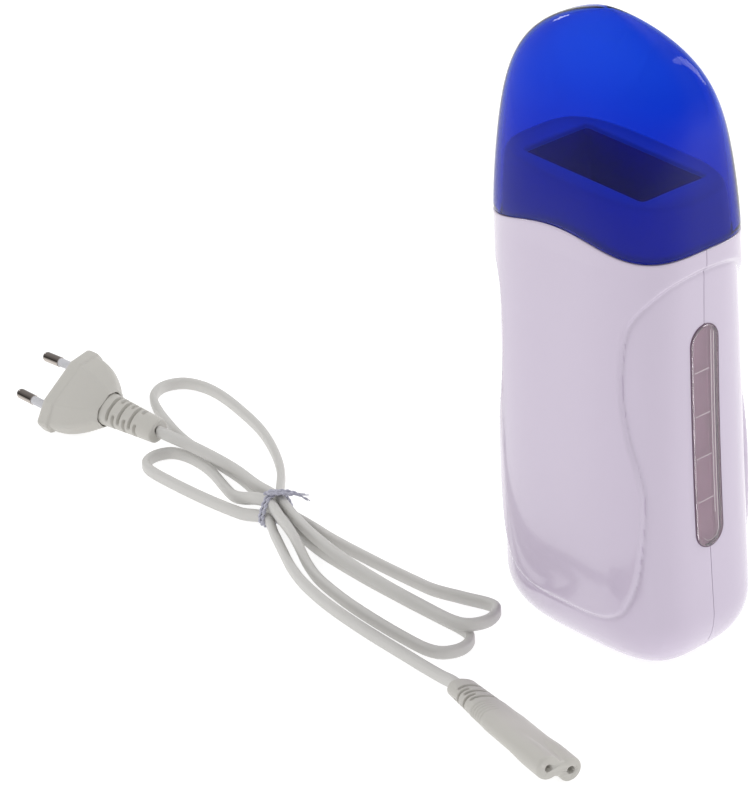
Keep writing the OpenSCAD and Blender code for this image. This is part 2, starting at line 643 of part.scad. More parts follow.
// ---- cord ----
// Cord levels: flat on the table, lying on a strand, and both again where the tie passes beneath
low = cord_w/2;
high = low + 5.5;
tie_low = low + tie_t + 0.2;
tie_high = high + tie_t + 0.1;
tie_x = -140;
cord_route = [[-214.7, -32.65, 8.9], [-210, -32.1, 8.6], [-200, -31, 8.2], [-185, -30.5, high],
  [-170, -31.3, high], [-155, -33.6, high],
  // bundle, then the long fold behind, going out high and coming back on the table
  [tie_x, -35.9, tie_high], [-125, -40, high], [-110, -44, high], [-90, -47.5, high],
  [-65, -49.5, high], [-46, -50, high], [-32, -49.8, high], [-26, -47.3, high],
  [-23.5, -41.3, high], [-26, -35.3, high], [-32, -32.8, high - 1], [-46, -33.3, 4.4],
  [-62, -34.5, low], [-85, -35.2, low], [-110, -35, low], [-126, -33.8, low],
  // bundle, then the large open fold towards the plug
  [tie_x, -33.8, tie_low], [-152, -26, low], [-165, -15, low], [-180, -6, low], [-197, 1.5, low],
  [-215, 6.5, low], [-231, 9.6, low], [-243, 9.8, low], [-251.8, 6.4, low], [-254.8, -1, low],
  [-251, -8.2, low], [-243, -13.2, low], [-230, -18.2, low], [-212, -23.3, low],
  [-190, -26, low], [-172, -28, low], [-155, -32.2, low],
  // bundle, then the near fold towards the heater
  [tie_x, -38, tie_low], [-126, -39.7, low], [-108, -43, low], [-85, -44.6, low], [-60, -45, low],
  [-44, -44.9, low], [-32, -45, low], [-26, -47.5, low], [-23.5, -53.4, low], [-26, -59.3, low],
  [-32, -61.8, low], [-44, -62, low], [-60, -61.2, low], [-76, -59.6, low], [-92, -56.7, low],
  [-103, -53.4, 3.4], [-112, -50.2, 6.8], [-120, -47, high], [-130, -43.4, high + 0.3],
  // bundle, then the short fold towards the plug
  [tie_x, -40.1, tie_high], [-147, -40.6, 8.4], [-155, -40.2, 5.4], [-163, -38.8, 3],
  [-172, -36, low], [-184, -32.2, low], [-193, -30.6, low], [-202, -30.7, low],
  [-208, -33.1, low], [-210.3, -38.8, low], [-208, -44.5, low], [-202, -46.9, low],
  [-190, -47.3, low], [-176, -47, low], [-163, -46.2, low], [-151, -44.7, low],
  // bundle, then the end that runs to the connector
  [tie_x, -42.2, tie_low], [-129, -47, low], [-118, -52.4, low], [-107, -57.6, low],
  [-95, -61.8, low], [-79, -65.2, low], [-60, -67.4, low], [-44, -68.5, low], [-28, -69.4, low],
  [-14, -71.1, 3.6], [-7, -72.3, 5], [-1.8, -73.3, 5.4]];
hank_first = 5;
hank_last = 75;
cord_section = [[0, -cord_w/2], [cord_t/2, -cord_w/4], [cord_t/2, cord_w/4], [0, cord_w/2],
  [-cord_t/2, cord_w/4], [-cord_t/2, -cord_w/4]];
function part_of(path, a, b) = [for (i = [a:b]) path[i]];
// The cord lies on the table, so no point of the curve sinks below its resting height
cord_curve = [for (p = curve(cord_route, 2)) [p[0], p[1], max(low, p[2])]];
cord_rings = path_rings(cord_curve, cord_section, [0, 0, 1]);
function length_to(path, i) = i == 0 ? 0 : norm(path[i] - path[i - 1]) + length_to(path, i - 1);
cord_length = length_to(cord_curve, len(cord_curve) - 1);

// Least gap between stretches of the hank that are not neighbours along the cord
function flat_gap(p, q) = let (d = norm([p[0] - q[0], p[1] - q[1]]) - cord_t,
  h = abs(p[2] - q[2]) - cord_w) max(d, h);
fine_curve = curve(cord_route, 5);
least_gap = min([for (i = [0:len(fine_curve) - 1]) for (j = [i + 25:1:len(fine_curve) - 1])
  flat_gap(fine_curve[i], fine_curve[j])]);
echo(cord_length = cord_length, least_gap = least_gap);

module plug_lead() {
  color([0.75, 0.74, 0.73]) ring_solid(part_of(cord_rings, 0, 2*hank_first));
}
module cord_hank() {
  color([0.75, 0.74, 0.73]) ring_solid(part_of(cord_rings, 2*hank_first, 2*hank_last));
}
module connector_lead() {
  color([0.75, 0.74, 0.73]) ring_solid(part_of(cord_rings, 2*hank_last, len(cord_rings) - 1));
}

// Tie: an upright band around the five strands
tie_w = 3;
tie_half_y = 6.6;
tie_top_y = 4.5;
tie_mid_y = -37.85;
tie_top = tie_high + cord_w/2 + 0.1;
module tie_outline(grow) {
  hull() {
    for (s = [-1, 1]) {
      translate([tie_mid_y + s*(tie_half_y - 1), tie_t + 1.1]) circle(1 + grow, $fn = 32);
      translate([tie_mid_y + s*(tie_half_y - 1), tie_low + 1.5]) circle(1 + grow, $fn = 32);
      translate([tie_mid_y + s*(tie_top_y - 1), tie_top - 1]) circle(1 + grow, $fn = 32);
    }
  }
}
module cord_tie() {
  color([0.86, 0.84, 0.9]) translate([tie_x - tie_w/2, 0, 0]) rotate([90, 0, 90])
    linear_extrude(tie_w) difference() {
      tie_outline(tie_t + 0.1);
      tie_outline(0.1);
    }
}

// ---- connector ----
connector_place = [56, -84.9, 6.05];
connector_turn = [0, -0.4, -11.3];
connector_back_w = 14.8;
connector_back_t = 7.7;
connector_roll = -24;
module at_connector() {
  translate(connector_place) rotate(connector_turn) rotate([connector_roll, 0, 0]) children();
}
hole_r = inlet_pin_r + 0.15;
hole_l = 8;
contact_l = 8;
contact_r = hole_r + 0.4;
contact_gap = 2*inlet_pin_r + 0.1;
contact_floor = 1;
module connector_body() {
  color([0.78, 0.77, 0.75]) at_connector() difference() {
    union() {
      translate([-22, 0, 0]) rotate([90, 0, 90]) figure_eight(connector_w, connector_t, 22);
      hull() {
        translate([-23, 0, 0]) rotate([90, 0, 90]) flat_oval(connector_w, connector_t, 1);
        translate([-connector_l, 0, 0]) rotate([90, 0, 90])
          flat_oval(connector_back_w, connector_back_t, 1);
      }
    }
    at_contacts() {
      translate([0, 0, -hole_l - 0.5]) cylinder(r = hole_r, h = hole_l + 4, $fn = 24);
      translate([0, 0, -hole_l - contact_l]) cylinder(r = contact_r, h = contact_l, $fn = 24);
    }
  }
}
module at_contacts() {
  for (s = [-1, 1]) translate([0, s*pin_pitch/2, 0]) rotate([0, 90, 0]) children();
}
module connector_relief() {
  color([0.78, 0.77, 0.75]) at_connector() translate([-connector_l, 0, 0])
    relief(connector_relief_l, 13.8, 7.6, 11, 6.6, 3);
}
module connector_contacts() {
  color([0.75, 0.7, 0.5]) at_connector() at_contacts() difference() {
    translate([0, 0, -hole_l - contact_l]) cylinder(r = contact_r, h = contact_l, $fn = 24);
    translate([-contact_gap/2, -5, -hole_l - contact_l + contact_floor])
      cube([contact_gap, 10, contact_l]);
  }
}

front_shell();
rear_shell();
neck_collar();
cartridge_liner();
window_lens();
heater_plate();
ptc_element();
insulator_sheet();
ptc_clip();
clip_screws();
thermal_fuse();
fuse_link();
inlet_body();
inlet_pins();
live_wire();
neutral_wire();
case_screws();
cap();
plug_body();
plug_pins();
pin_sleeves();
plug_relief();
plug_lead();
cord_hank();
cord_tie();
connector_lead();
connector_body();
connector_relief();
connector_contacts();
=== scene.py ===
"""Roll-on wax heater with its folded mains cord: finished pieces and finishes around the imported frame.
Lengths in the functions are millimetres in the frame's axes; meshes are written in metres."""

import bpy
import numpy as np
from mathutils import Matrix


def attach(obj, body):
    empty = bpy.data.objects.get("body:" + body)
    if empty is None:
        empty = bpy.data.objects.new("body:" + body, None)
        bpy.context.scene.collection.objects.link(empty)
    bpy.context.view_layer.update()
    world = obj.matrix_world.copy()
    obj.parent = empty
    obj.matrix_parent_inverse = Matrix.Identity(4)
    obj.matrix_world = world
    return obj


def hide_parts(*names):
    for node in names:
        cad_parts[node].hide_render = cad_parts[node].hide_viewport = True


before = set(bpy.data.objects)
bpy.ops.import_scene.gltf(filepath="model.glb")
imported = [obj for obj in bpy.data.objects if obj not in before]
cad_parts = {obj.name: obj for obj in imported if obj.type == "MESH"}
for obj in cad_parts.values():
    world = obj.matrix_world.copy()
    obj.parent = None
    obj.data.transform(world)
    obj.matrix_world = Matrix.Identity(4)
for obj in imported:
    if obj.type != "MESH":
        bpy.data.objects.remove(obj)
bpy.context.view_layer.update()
MM = 0.001
HEATER, CAP = "heater", "cap"


# ---------------------------------------------------------------- camera
# The view, solved from the plug, the connector, the floor line and the case's edges. The camera stands at
# VIEW_DISTANCE from VIEW_CENTRE and looks along its own heading, pitch and roll. The picture's longer side,
# the focal length and the shift are in pixels, the sensor in millimetres.
VIEW_CENTRE, VIEW_DISTANCE = (0, 0, 100), 1003.668
VIEW_AZIMUTH, VIEW_ELEVATION = np.radians(46.054), np.radians(25.62)
VIEW_HEADING, VIEW_PITCH, VIEW_ROLL = np.radians(46.054 + 3.345), np.radians(27.354), np.radians(-3.32)
PICTURE, FOCAL_LENGTH, SHIFT_X, SHIFT_Y = 790, 3136.372, -85.132, 56.421
SENSOR = 36


def turn(axis, degrees):
    """Rotation matrix about one axis, right-handed."""
    a = np.radians(degrees)
    c, s = np.cos(a), np.sin(a)
    return np.array({"x": [[1, 0, 0], [0, c, -s], [0, s, c]],
                     "y": [[c, 0, s], [0, 1, 0], [-s, 0, c]],
                     "z": [[c, -s, 0], [s, c, 0], [0, 0, 1]]}[axis])


def towards(heading, pitch):
    """Unit vector turned from -Y towards +X by the heading, and then up by the pitch."""
    return np.array([np.sin(heading) * np.cos(pitch), -np.cos(heading) * np.cos(pitch), np.sin(pitch)])


def stand(thing, right, up, back, place):
    """Puts a camera or a lamp into the scene, its axes along right, up and back, its place in metres."""
    matrix = np.eye(4)
    matrix[:3] = np.stack([right, up, back, place], axis=1)
    thing.matrix_world = matrix.T.tolist()
    bpy.context.scene.collection.objects.link(thing)


def make_camera():
    """Camera with a long lens, about a metre from the heater, to its front right and above it."""
    place = np.array(VIEW_CENTRE) + VIEW_DISTANCE * towards(VIEW_AZIMUTH, VIEW_ELEVATION)
    back = towards(VIEW_HEADING, VIEW_PITCH)
    right = np.array([np.cos(VIEW_HEADING), np.sin(VIEW_HEADING), 0])
    up = np.cross(right, -back)
    c, s = np.cos(VIEW_ROLL), np.sin(VIEW_ROLL)
    right, up = c * right + s * up, -s * right + c * up
    data = bpy.data.cameras.new("camera")
    data.sensor_fit = "AUTO"
    data.sensor_width = SENSOR
    data.lens = FOCAL_LENGTH / PICTURE * SENSOR
    data.shift_x, data.shift_y = SHIFT_X / PICTURE, SHIFT_Y / PICTURE
    data.clip_end = 20
    camera = bpy.data.objects.new("camera", data)
    stand(camera, right, up, back, place * MM)
    bpy.context.scene.camera = camera


make_camera()


# ---------------------------------------------------------------- meshes
def add_piece(name, points, faces, body=None, sharp=35):
    """Mesh object at the origin, from points in millimetres and each face's list of point numbers. Edges
    are sharp where the faces turn by more than sharp degrees."""
    mesh = bpy.data.meshes.new(name)
    mesh.from_pydata((np.asarray(points, float) * MM).tolist(), [], faces)
    mesh.validate()
    mesh.polygons.foreach_set("use_smooth", np.ones(len(mesh.polygons), bool))
    mesh.set_sharp_from_angle(angle=np.radians(sharp))
    piece = bpy.data.objects.new(name, mesh)
    bpy.context.scene.collection.objects.link(piece)
    if body:
        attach(piece, body)
    return piece


def quads(rows, cols, start=0, closed=False, flip=False):
    """Faces of a grid of rows by cols points; closed joins the last column to the first."""
    i = np.arange(rows - 1)[:, None] * cols + start
    j = np.arange(cols if closed else cols - 1)[None, :]
    k = (j + 1) % cols
    f = np.stack([i + j, i + cols + j, i + cols + k, i + k], axis=-1).reshape(-1, 4)
    return (f[:, ::-1] if flip else f).tolist()


def signed_volume(points, faces):
    """Six times the volume inside the faces, taken as fans: positive where they face outward."""
    points = np.asarray(points)
    fans = np.concatenate([[(f[0], f[k], f[k + 1]) for k in range(1, len(f) - 1)] for f in faces])
    a, b, c = (points[fans[:, k]] for k in range(3))
    return float(np.sum(a * np.cross(b, c)))


def loft(name, rings, body, loop=False, sharp=35):
    """Closed rings of equal length, joined in order: [ring, point, xyz]. loop joins the last ring to the
    first; without it a flat face closes each end. The faces are turned outward."""
    rings = np.asarray(rings, float)
    n, m, _ = rings.shape
    points = rings.reshape(-1, 3)
    if loop:
        faces = [[v % (n * m) for v in f] for f in quads(n + 1, m, closed=True)]
    else:
        faces = quads(n, m, closed=True) + [list(range(m)), list(range((n - 1) * m, n * m))[::-1]]
    if signed_volume(points, faces) < 0:
        faces = [f[::-1] for f in faces]
    return add_piece(name, points, faces, body, sharp)


def sheet_between(name, outer, inner, body, sharp=35):
    """Solid between two grids of the same size: both grids and the four strips that join their edges."""
    r, c, _ = outer.shape
    n = r * c
    faces = quads(r, c) + quads(r, c, start=n, flip=True)
    at = np.arange(n).reshape(r, c)

    def strip(a, reverse):
        """Faces that join one edge of the first grid to the same edge of the second."""
        f = np.stack([a[:-1], a[1:], a[1:] + n, a[:-1] + n], axis=-1)
        return (f[:, ::-1] if reverse else f).tolist()

    faces += strip(at[:, 0], True) + strip(at[:, -1], False) + strip(at[0], False) + strip(at[-1], True)
    points = np.concatenate([outer.reshape(-1, 3), inner.reshape(-1, 3)])
    if signed_volume(points, faces) < 0:
        faces = [f[::-1] for f in faces]
    return add_piece(name, points, faces, body, sharp)


def smooth(t):
    """0 below 0, 1 above 1, and between them 3t^2 - 2t^3, which starts and ends level."""
    t = np.clip(t, 0, 1)
    return t * t * (3 - 2 * t)


def spline(points, steps):
    """Curve through all the points: each span is the cubic whose end slopes are half the chord between
    the neighbours, sampled steps times."""
    p = np.asarray(points, float)
    q = np.concatenate([p[:1], p, p[-1:]])
    u = np.arange(steps)[None, :, None] / steps
    p0, p1, p2, p3 = (q[k:len(q) - 3 + k, None, :] for k in range(4))
    second, third = 2 * p0 - 5 * p1 + 4 * p2 - p3, 3 * p1 - p0 - 3 * p2 + p3
    c = p1 + 0.5 * u * ((p2 - p0) + u * (second + u * third))
    return np.concatenate([c.reshape(-1, p.shape[1]), p[-1:]])


def even(path, step):
    """The path resampled at equal steps of length."""
    s = np.concatenate([[0], np.cumsum(np.linalg.norm(np.diff(path, axis=0), axis=1))])
    t = np.linspace(0, s[-1], int(round(s[-1] / step)) + 1)
    return np.stack([np.interp(t, s, path[:, k]) for k in range(path.shape[1])], axis=1)


def unit(v):
    """Each vector over its own length."""
    return v / np.linalg.norm(v, axis=-1, keepdims=True)


def upright_frames(path):
    """Across and up at each point of a path that never runs straight up."""
    d = unit(np.gradient(path, axis=0))
    across = unit(np.cross(d, [0, 0, 1.0]))
    return across, np.cross(across, d)


def carried_frames(path):
    """Two normals at each point of a path, carried along it without twisting."""
    d = unit(np.gradient(path, axis=0))
    n = np.zeros_like(d)
    n[0] = unit(np.cross(d[0], [0.3, 0.2, 1.0]))
    for k in range(1, len(d)):
        n[k] = unit(n[k - 1] - d[k] * np.dot(n[k - 1], d[k]))
    return n, np.cross(d, n)


# ---------------------------------------------------------------- finishes
GRAIN_DEPTH = 0.00005     # metres


def node_of(material, kind):
    """The material's only node of this kind."""
    return next(n for n in material.node_tree.nodes if n.type == kind)


def new_material(name):
    """An empty finish, with its nodes, its links and its main shader."""
    material = bpy.data.materials.new(name)
    material.use_nodes = True
    return material, material.node_tree.nodes, material.node_tree.links, node_of(material, "BSDF_PRINCIPLED")


def finish(name, colour, roughness, vary=0.03, vary_size=60, grain=0.1, grain_size=2500, rough_vary=0.06,
           streak=(1, 1, 1), **sockets):
    """Moulded or metal finish from noise on the object's own coordinates: the colour drifts by the share
    vary and the roughness by rough_vary, both slowly, and a fine grain lifts the surface. streak stretches
    the noise along the axes, and sockets sets the shader's other inputs by name."""
    material, nodes, links, shader = new_material(name)
    place = nodes.new("ShaderNodeTexCoord")
    stretch = nodes.new("ShaderNodeMapping")
    stretch.inputs["Scale"].default_value = streak
    links.new(place.outputs["Object"], stretch.inputs["Vector"])
    slow, fine = nodes.new("ShaderNodeTexNoise"), nodes.new("ShaderNodeTexNoise")
    for noise, size, detail in ((slow, vary_size, 3), (fine, grain_size, 2)):
        noise.inputs["Scale"].default_value = size
        noise.inputs["Detail"].default_value = detail
        links.new(stretch.outputs["Vector"], noise.inputs["Vector"])
    shade = nodes.new("ShaderNodeValToRGB")
    low, high = shade.color_ramp.elements
    low.position, high.position = 0.2, 0.8
    low.color = [c * (1 - vary) for c in colour] + [1]
    high.color = [min(1, c * (1 + vary)) for c in colour] + [1]
    links.new(slow.outputs["Fac"], shade.inputs["Fac"])
    links.new(shade.outputs["Color"], shader.inputs["Base Color"])
    gloss = nodes.new("ShaderNodeMapRange")
    gloss.inputs["To Min"].default_value = max(0.02, roughness - rough_vary)
    gloss.inputs["To Max"].default_value = roughness + rough_vary
    links.new(slow.outputs["Fac"], gloss.inputs["Value"])
    links.new(gloss.outputs["Result"], shader.inputs["Roughness"])
    bump = nodes.new("ShaderNodeBump")
    bump.inputs["Strength"].default_value = grain
    bump.inputs["Distance"].default_value = GRAIN_DEPTH
    links.new(fine.outputs["Fac"], bump.inputs["Height"])
    links.new(bump.outputs["Normal"], shader.inputs["Normal"])
    for key, value in sockets.items():
        shader.inputs[key.replace("_", " ").title().replace("Ior", "IOR")].default_value = value
    return material


SHELL = finish("gloss_white_shell", (0.55, 0.475, 0.605), 0.25, vary=0.006, rough_vary=0.02, grain=0.012,
               grain_size=900, coat_weight=1.0, coat_roughness=0.09, coat_ior=1.6)
BLUE = finish("clear_blue_cap", (0.18, 0.38, 0.88), 0.04, vary=0.03, vary_size=18, grain=0.02,
              grain_size=600, rough_vary=0.02, transmission_weight=1.0, ior=1.31)
LENS = finish("clear_window", (0.86, 0.77, 0.83), 0.05, vary=0.04, vary_size=40, grain=0.02, rough_vary=0.02,
              transmission_weight=0.9, ior=1.45)
SIGHT = finish("mauve_sight_strip", (0.42, 0.215, 0.33), 0.4, vary=0.16, vary_size=22, streak=(1, 2.5, 0.35),
               grain=0.1)
TICK = finish("pale_print", (0.46, 0.37, 0.42), 0.4, grain=0.05)
# Painted highlight: a pale colour for the two light lines along the lens's bevel, carried by thin raised
# tubes.
HIGHLIGHT_BEAD = finish("lens_edge_painted_highlight", (0.66, 0.56, 0.62), 0.25, grain=0.05)
# Painted shade: a dark tube laid in the joint round the glass, where the crease between lens and wall is in
# shade.
JOINT_SHADE = finish("window_edge_painted_shade", (0.13, 0.075, 0.12), 0.35, vary=0.1, grain=0.1)
# Painted light: the neck is the case's white-lilac plastic, made lighter and bluer here than the case to
# stand in for lamp light that does not reach it through the cap.
NECK_PAINTED_LIGHT = finish("lilac_neck_painted_light", (0.74, 0.60, 0.95), 0.35, vary=0.03)
LINER = finish("mauve_liner", (0.42, 0.06, 0.52), 0.45, vary=0.08, grain=0.15)
PLUG = finish("soft_grey_plug", (0.515, 0.50, 0.465), 0.42, vary=0.02, grain=0.12, grain_size=1500)
SLEEVE = finish("white_sleeve", (0.56, 0.56, 0.59), 0.4)
CORD = finish("grey_cord_sheath", (0.57, 0.56, 0.54), 0.45, vary=0.02, vary_size=30, grain=0.15,
              grain_size=1500)
STRING = finish("twisted_string", (0.44, 0.44, 0.52), 0.7, vary=0.10, vary_size=900, grain=0.4,
                sheen_weight=0.3)
METAL = finish("brushed_aluminium", (0.62, 0.63, 0.65), 0.35, streak=(1, 1, 12), grain=0.25, metallic=1.0)
SPRING = finish("spring_steel", (0.45, 0.46, 0.48), 0.3, streak=(8, 1, 1), grain=0.2, metallic=1.0)
CERAMIC = finish("buff_ceramic", (0.48, 0.45, 0.38), 0.7, vary=0.1, vary_size=400, grain=0.5)
FILM = finish("amber_film", (0.62, 0.34, 0.06), 0.15, vary=0.05, coat_weight=0.5)
BLACK = finish("black_inlet", (0.02, 0.02, 0.022), 0.4, vary=0.1, grain=0.25)
BROWN = finish("brown_wire_sheath", (0.16, 0.06, 0.03), 0.4)
COLD = finish("blue_wire_sheath", (0.03, 0.09, 0.35), 0.4)
BRASS = finish("plain_brass", (0.6, 0.45, 0.18), 0.3, vary=0.08, metallic=1.0)
SCREW = finish("zinc_screw", (0.58, 0.58, 0.6), 0.28, vary=0.05, grain=0.1, metallic=1.0)


def pins_painted_reflection():
    """Nickel tinted by the height of the surface's normal, as painted reflection: bright on the sides and
    below, darkest where the surface leans halfway up, and grey on top, where a mirror finish would show its
    surroundings."""
    material = finish("nickel_painted_reflection", (0.5, 0.47, 0.45), 0.12, vary=0.05, vary_size=300, metallic=1.0)
    nodes, links = material.node_tree.nodes, material.node_tree.links
    shader = node_of(material, "BSDF_PRINCIPLED")
    worn = shader.inputs["Base Color"].links[0].from_socket
    # Painted reflection: this ramp on the normal's height makes the colour bright on the sides and below,
    # near black on the slopes and grey on top.
    place, split, ramp = (nodes.new(f"ShaderNode{kind}") for kind in ("TexCoord", "SeparateXYZ", "ValToRGB"))
    links.new(place.outputs["Normal"], split.inputs["Vector"])
    links.new(split.outputs["Z"], ramp.inputs["Fac"])
    sides, slopes = ramp.color_ramp.elements
    sides.position, sides.color = 0.0, (1, 0.96, 0.92, 1)
    slopes.position, slopes.color = 0.42, (0.03, 0.025, 0.022, 1)
    top = ramp.color_ramp.elements.new(0.9)
    top.color = (0.30, 0.28, 0.27, 1)
    mix = nodes.new("ShaderNodeMix")
    mix.data_type, mix.blend_type = "RGBA", "MULTIPLY"
    mix.inputs["Factor"].default_value = 1
    links.new(worn, mix.inputs["A"])
    links.new(ramp.outputs["Color"], mix.inputs["B"])
    links.new(mix.outputs["Result"], shader.inputs["Base Color"])
    return material


# Nickel for the pins and the fuse link, with painted reflection in its colour.
NICKEL_PAINTED_REFLECTION = pins_painted_reflection()


def deepen(material, red, green, blue):
    """Colour that builds up inside the wall: each colour is absorbed at its own rate for every metre of
    it, red at the highest."""
    nodes, links = material.node_tree.nodes, material.node_tree.links
    body = nodes.new("ShaderNodeVolumeAbsorption")
    body.inputs["Density"].default_value = red
    body.inputs["Color"].default_value = (0, 1 - green / red, 1 - blue / red, 1)
    links.new(body.outputs["Volume"], node_of(material, "OUTPUT_MATERIAL").inputs["Volume"])


def dull_above(material, upright, upward):
    """Reflection whose tint fades from one grey on upright walls to another where the surface faces up or
    down, by the size of the normal's height."""
    nodes, links = material.node_tree.nodes, material.node_tree.links
    shader = node_of(material, "BSDF_PRINCIPLED")
    place, split, lean, fade = (nodes.new(f"ShaderNode{kind}")
                                for kind in ("TexCoord", "SeparateXYZ", "Math", "MapRange"))
    lean.operation = "ABSOLUTE"
    links.new(place.outputs["Normal"], split.inputs["Vector"])
    links.new(split.outputs["Z"], lean.inputs[0])
    links.new(lean.outputs[0], fade.inputs["Value"])
    for key, value in (("From Min", 0.08), ("From Max", 0.4), ("To Min", upright), ("To Max", upward)):
        fade.inputs[key].default_value = value
    links.new(fade.outputs["Result"], shader.inputs["Specular Tint"])


deepen(BLUE, 900, 570, 150)
dull_above(BLUE, 1.0, 0.12)

NODE_FINISH = {
    "cartridge_liner": LINER, "heater_plate": METAL, "ptc_element": CERAMIC, "insulator_sheet": FILM,
    "ptc_clip": SPRING, "clip_screws": SCREW, "thermal_fuse": CERAMIC, "fuse_link": NICKEL_PAINTED_REFLECTION,
    "inlet_body": BLACK, "inlet_pins": NICKEL_PAINTED_REFLECTION, "live_wire": BROWN, "neutral_wire": COLD,
    "case_screws": SCREW, "plug_pins": NICKEL_PAINTED_REFLECTION, "pin_sleeves": SLEEVE, "connector_contacts": BRASS}


def wear(piece, material):
    """Gives the piece this one finish."""
    piece.data.materials.clear()
    piece.data.materials.append(material)
    return piece


for node, material in NODE_FINISH.items():
    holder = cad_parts[node]
    if not holder.material_slots:
        holder.data.materials.append(material)
    for material_slot in holder.material_slots:
        material_slot.material = material

# ---------------------------------------------------------------- cord
CORD_W, CORD_T, CORD_STEP = 4.8, 3.0, 1.6
# Heights of the cord's middle on the floor and on the runs above; the string lifts both where it is tied.
LOW = CORD_W / 2
HIGH = LOW + 5.5
TIE_T = 1.0
TIE_LOW, TIE_HIGH, TIE_X = LOW + TIE_T + 0.2, HIGH + TIE_T + 0.1, -140
CORD_ROUTE = [
    (-214.7, -32.65, 8.9), (-210, -32.1, 8.6), (-200, -31, 8.2), (-185, -30.5, HIGH),
    (-170, -31.3, HIGH), (-155, -33.6, HIGH),
    # the long fold behind
    (TIE_X, -35.9, TIE_HIGH), (-125, -40, HIGH), (-110, -44, HIGH), (-90, -47.5, HIGH),
    (-65, -49.5, HIGH), (-46, -50, HIGH), (-32, -49.8, HIGH), (-26, -47.3, HIGH), (-23.5, -41.3, HIGH),
    (-26, -35.3, HIGH), (-32, -32.8, HIGH - 1), (-46, -33.3, 4.4), (-62, -34.5, LOW), (-85, -35.2, LOW),
    (-110, -35, LOW), (-126, -33.8, LOW),
    # the large open fold towards the plug
    (TIE_X, -33.8, TIE_LOW), (-152, -26, LOW), (-165, -15, LOW), (-180, -6, LOW), (-197, 1.5, LOW),
    (-215, 6.5, LOW), (-231, 9.6, LOW), (-243, 9.8, LOW), (-251.8, 6.4, LOW), (-254.8, -1, LOW),
    (-251, -8.2, LOW), (-243, -13.2, LOW), (-230, -18.2, LOW), (-212, -23.3, LOW), (-190, -26, LOW),
    (-172, -28, LOW), (-155, -32.2, LOW),
    # the near fold towards the heater
    (TIE_X, -38, TIE_LOW), (-126, -39.7, LOW), (-108, -43, LOW), (-85, -44.6, LOW), (-60, -45, LOW),
    (-44, -44.9, LOW), (-32, -45, LOW), (-26, -47.5, LOW), (-23.5, -53.4, LOW), (-26, -59.3, LOW),
    (-32, -61.8, LOW), (-44, -62, LOW), (-60, -61.2, LOW), (-76, -59.6, LOW), (-92, -56.7, LOW),
    (-103, -53.4, 3.4), (-112, -50.2, 6.8), (-120, -47, HIGH), (-130, -43.4, HIGH + 0.3),
    # the short fold towards the plug
    (TIE_X, -40.1, TIE_HIGH), (-147, -40.6, 8.4), (-155, -40.2, 5.4), (-163, -38.8, 3), (-172, -36, LOW),
    (-184, -32.2, LOW), (-193, -30.6, LOW), (-202, -30.7, LOW), (-208, -33.1, LOW), (-210.3, -38.8, LOW),
    (-208, -44.5, LOW), (-202, -46.9, LOW), (-190, -47.3, LOW), (-176, -47, LOW), (-163, -46.2, LOW),
    (-151, -44.7, LOW),
    # the end that runs to the connector
    (TIE_X, -42.2, TIE_LOW), (-129, -47, LOW), (-118, -52.4, LOW), (-107, -57.6, LOW), (-95, -61.8, LOW),
    (-79, -65.2, LOW), (-60, -67.4, LOW), (-44, -68.5, LOW), (-28, -69.4, LOW), (-14, -71.1, 3.6),
    (-7, -72.3, 5), (-1.8, -73.3, 5.4)]


def cord_section(count=24):
    """Flat oval, CORD_T across and CORD_W up: a half circle at each end of a straight middle."""
    a = (np.arange(count) + 0.5) / count * 2 * np.pi
    return np.stack([CORD_T / 2 * np.cos(a),
                     (CORD_W - CORD_T) / 2 * np.sign(np.sin(a)) + CORD_T / 2 * np.sin(a)], axis=1)


def make_cord():
    """The sheath: the oval section, standing on its edge, carried along the curve through the route."""
    path = spline(CORD_ROUTE, 10)
    path[:, 2] = np.maximum(path[:, 2], LOW)
    path = even(path, CORD_STEP)
    across, up = upright_frames(path)
    section = cord_section()
    rings = path[:, None] + across[:, None] * section[None, :, :1] + up[:, None] * section[None, :, 1:]
    return wear(loft("mains_cord", rings, HEATER), CORD), path


# ---------------------------------------------------------------- plug and connector
PLUG_AT = (np.array([-265.5, -38.7, 12]), turn("z", 186.8) @ turn("y", -3.4) @ turn("x", -35))
CONNECTOR_AT = (np.array([56, -84.9, 6.05]), turn("z", -11.3) @ turn("y", -0.4) @ turn("x", -24))
FLOOR_GAP, OVAL_POWER = 0.01, 2.3
RELIEF_ROUND, RELIEF_MOUTH = 0.9, (3.2, 5.2)
LOBE_AT, LOBE_R, WAIST = 4.3, 4.1, 2.7
BORE_R, BORE_DEPTH = 1.35, 9
FINE_GROOVES, FINE_GROOVE = (34.8, 36.3, 37.8, 39.3, 40.8), 0.32     # their places; depth and width of each


def put(points, seat):
    """Points turned and moved from a part's own axes to its seat, a place and a rotation."""
    place, basis = seat
    return place + np.asarray(points) @ basis.T


def rounded_outline(corners, radius, per_corner=8):
    """Convex polygon with round corners: at each corner an arc of the given radius whose centre is where
    the two sides, moved in by the radius, meet. corners is [corner, 2], anticlockwise."""
    c = np.asarray(corners, float)
    before, after = unit(c - np.roll(c, 1, 0)), unit(np.roll(c, -1, 0) - c)
    n0 = np.stack([before[:, 1], -before[:, 0]], 1)
    n1 = np.stack([after[:, 1], -after[:, 0]], 1)
    half = unit(n0 + n1)
    centre = c - half * (radius / np.sum(half * n0, 1))[:, None]
    a0, a1 = np.arctan2(n0[:, 1], n0[:, 0]), np.arctan2(n1[:, 1], n1[:, 0])
    a1 = a0 + (a1 - a0) % (2 * np.pi)
    t = a0[:, None] + (a1 - a0)[:, None] * np.linspace(0, 1, per_corner)[None]
    ring = centre[:, None] + radius * np.stack([np.cos(t), np.sin(t)], -1)
    return ring.reshape(-1, 2)


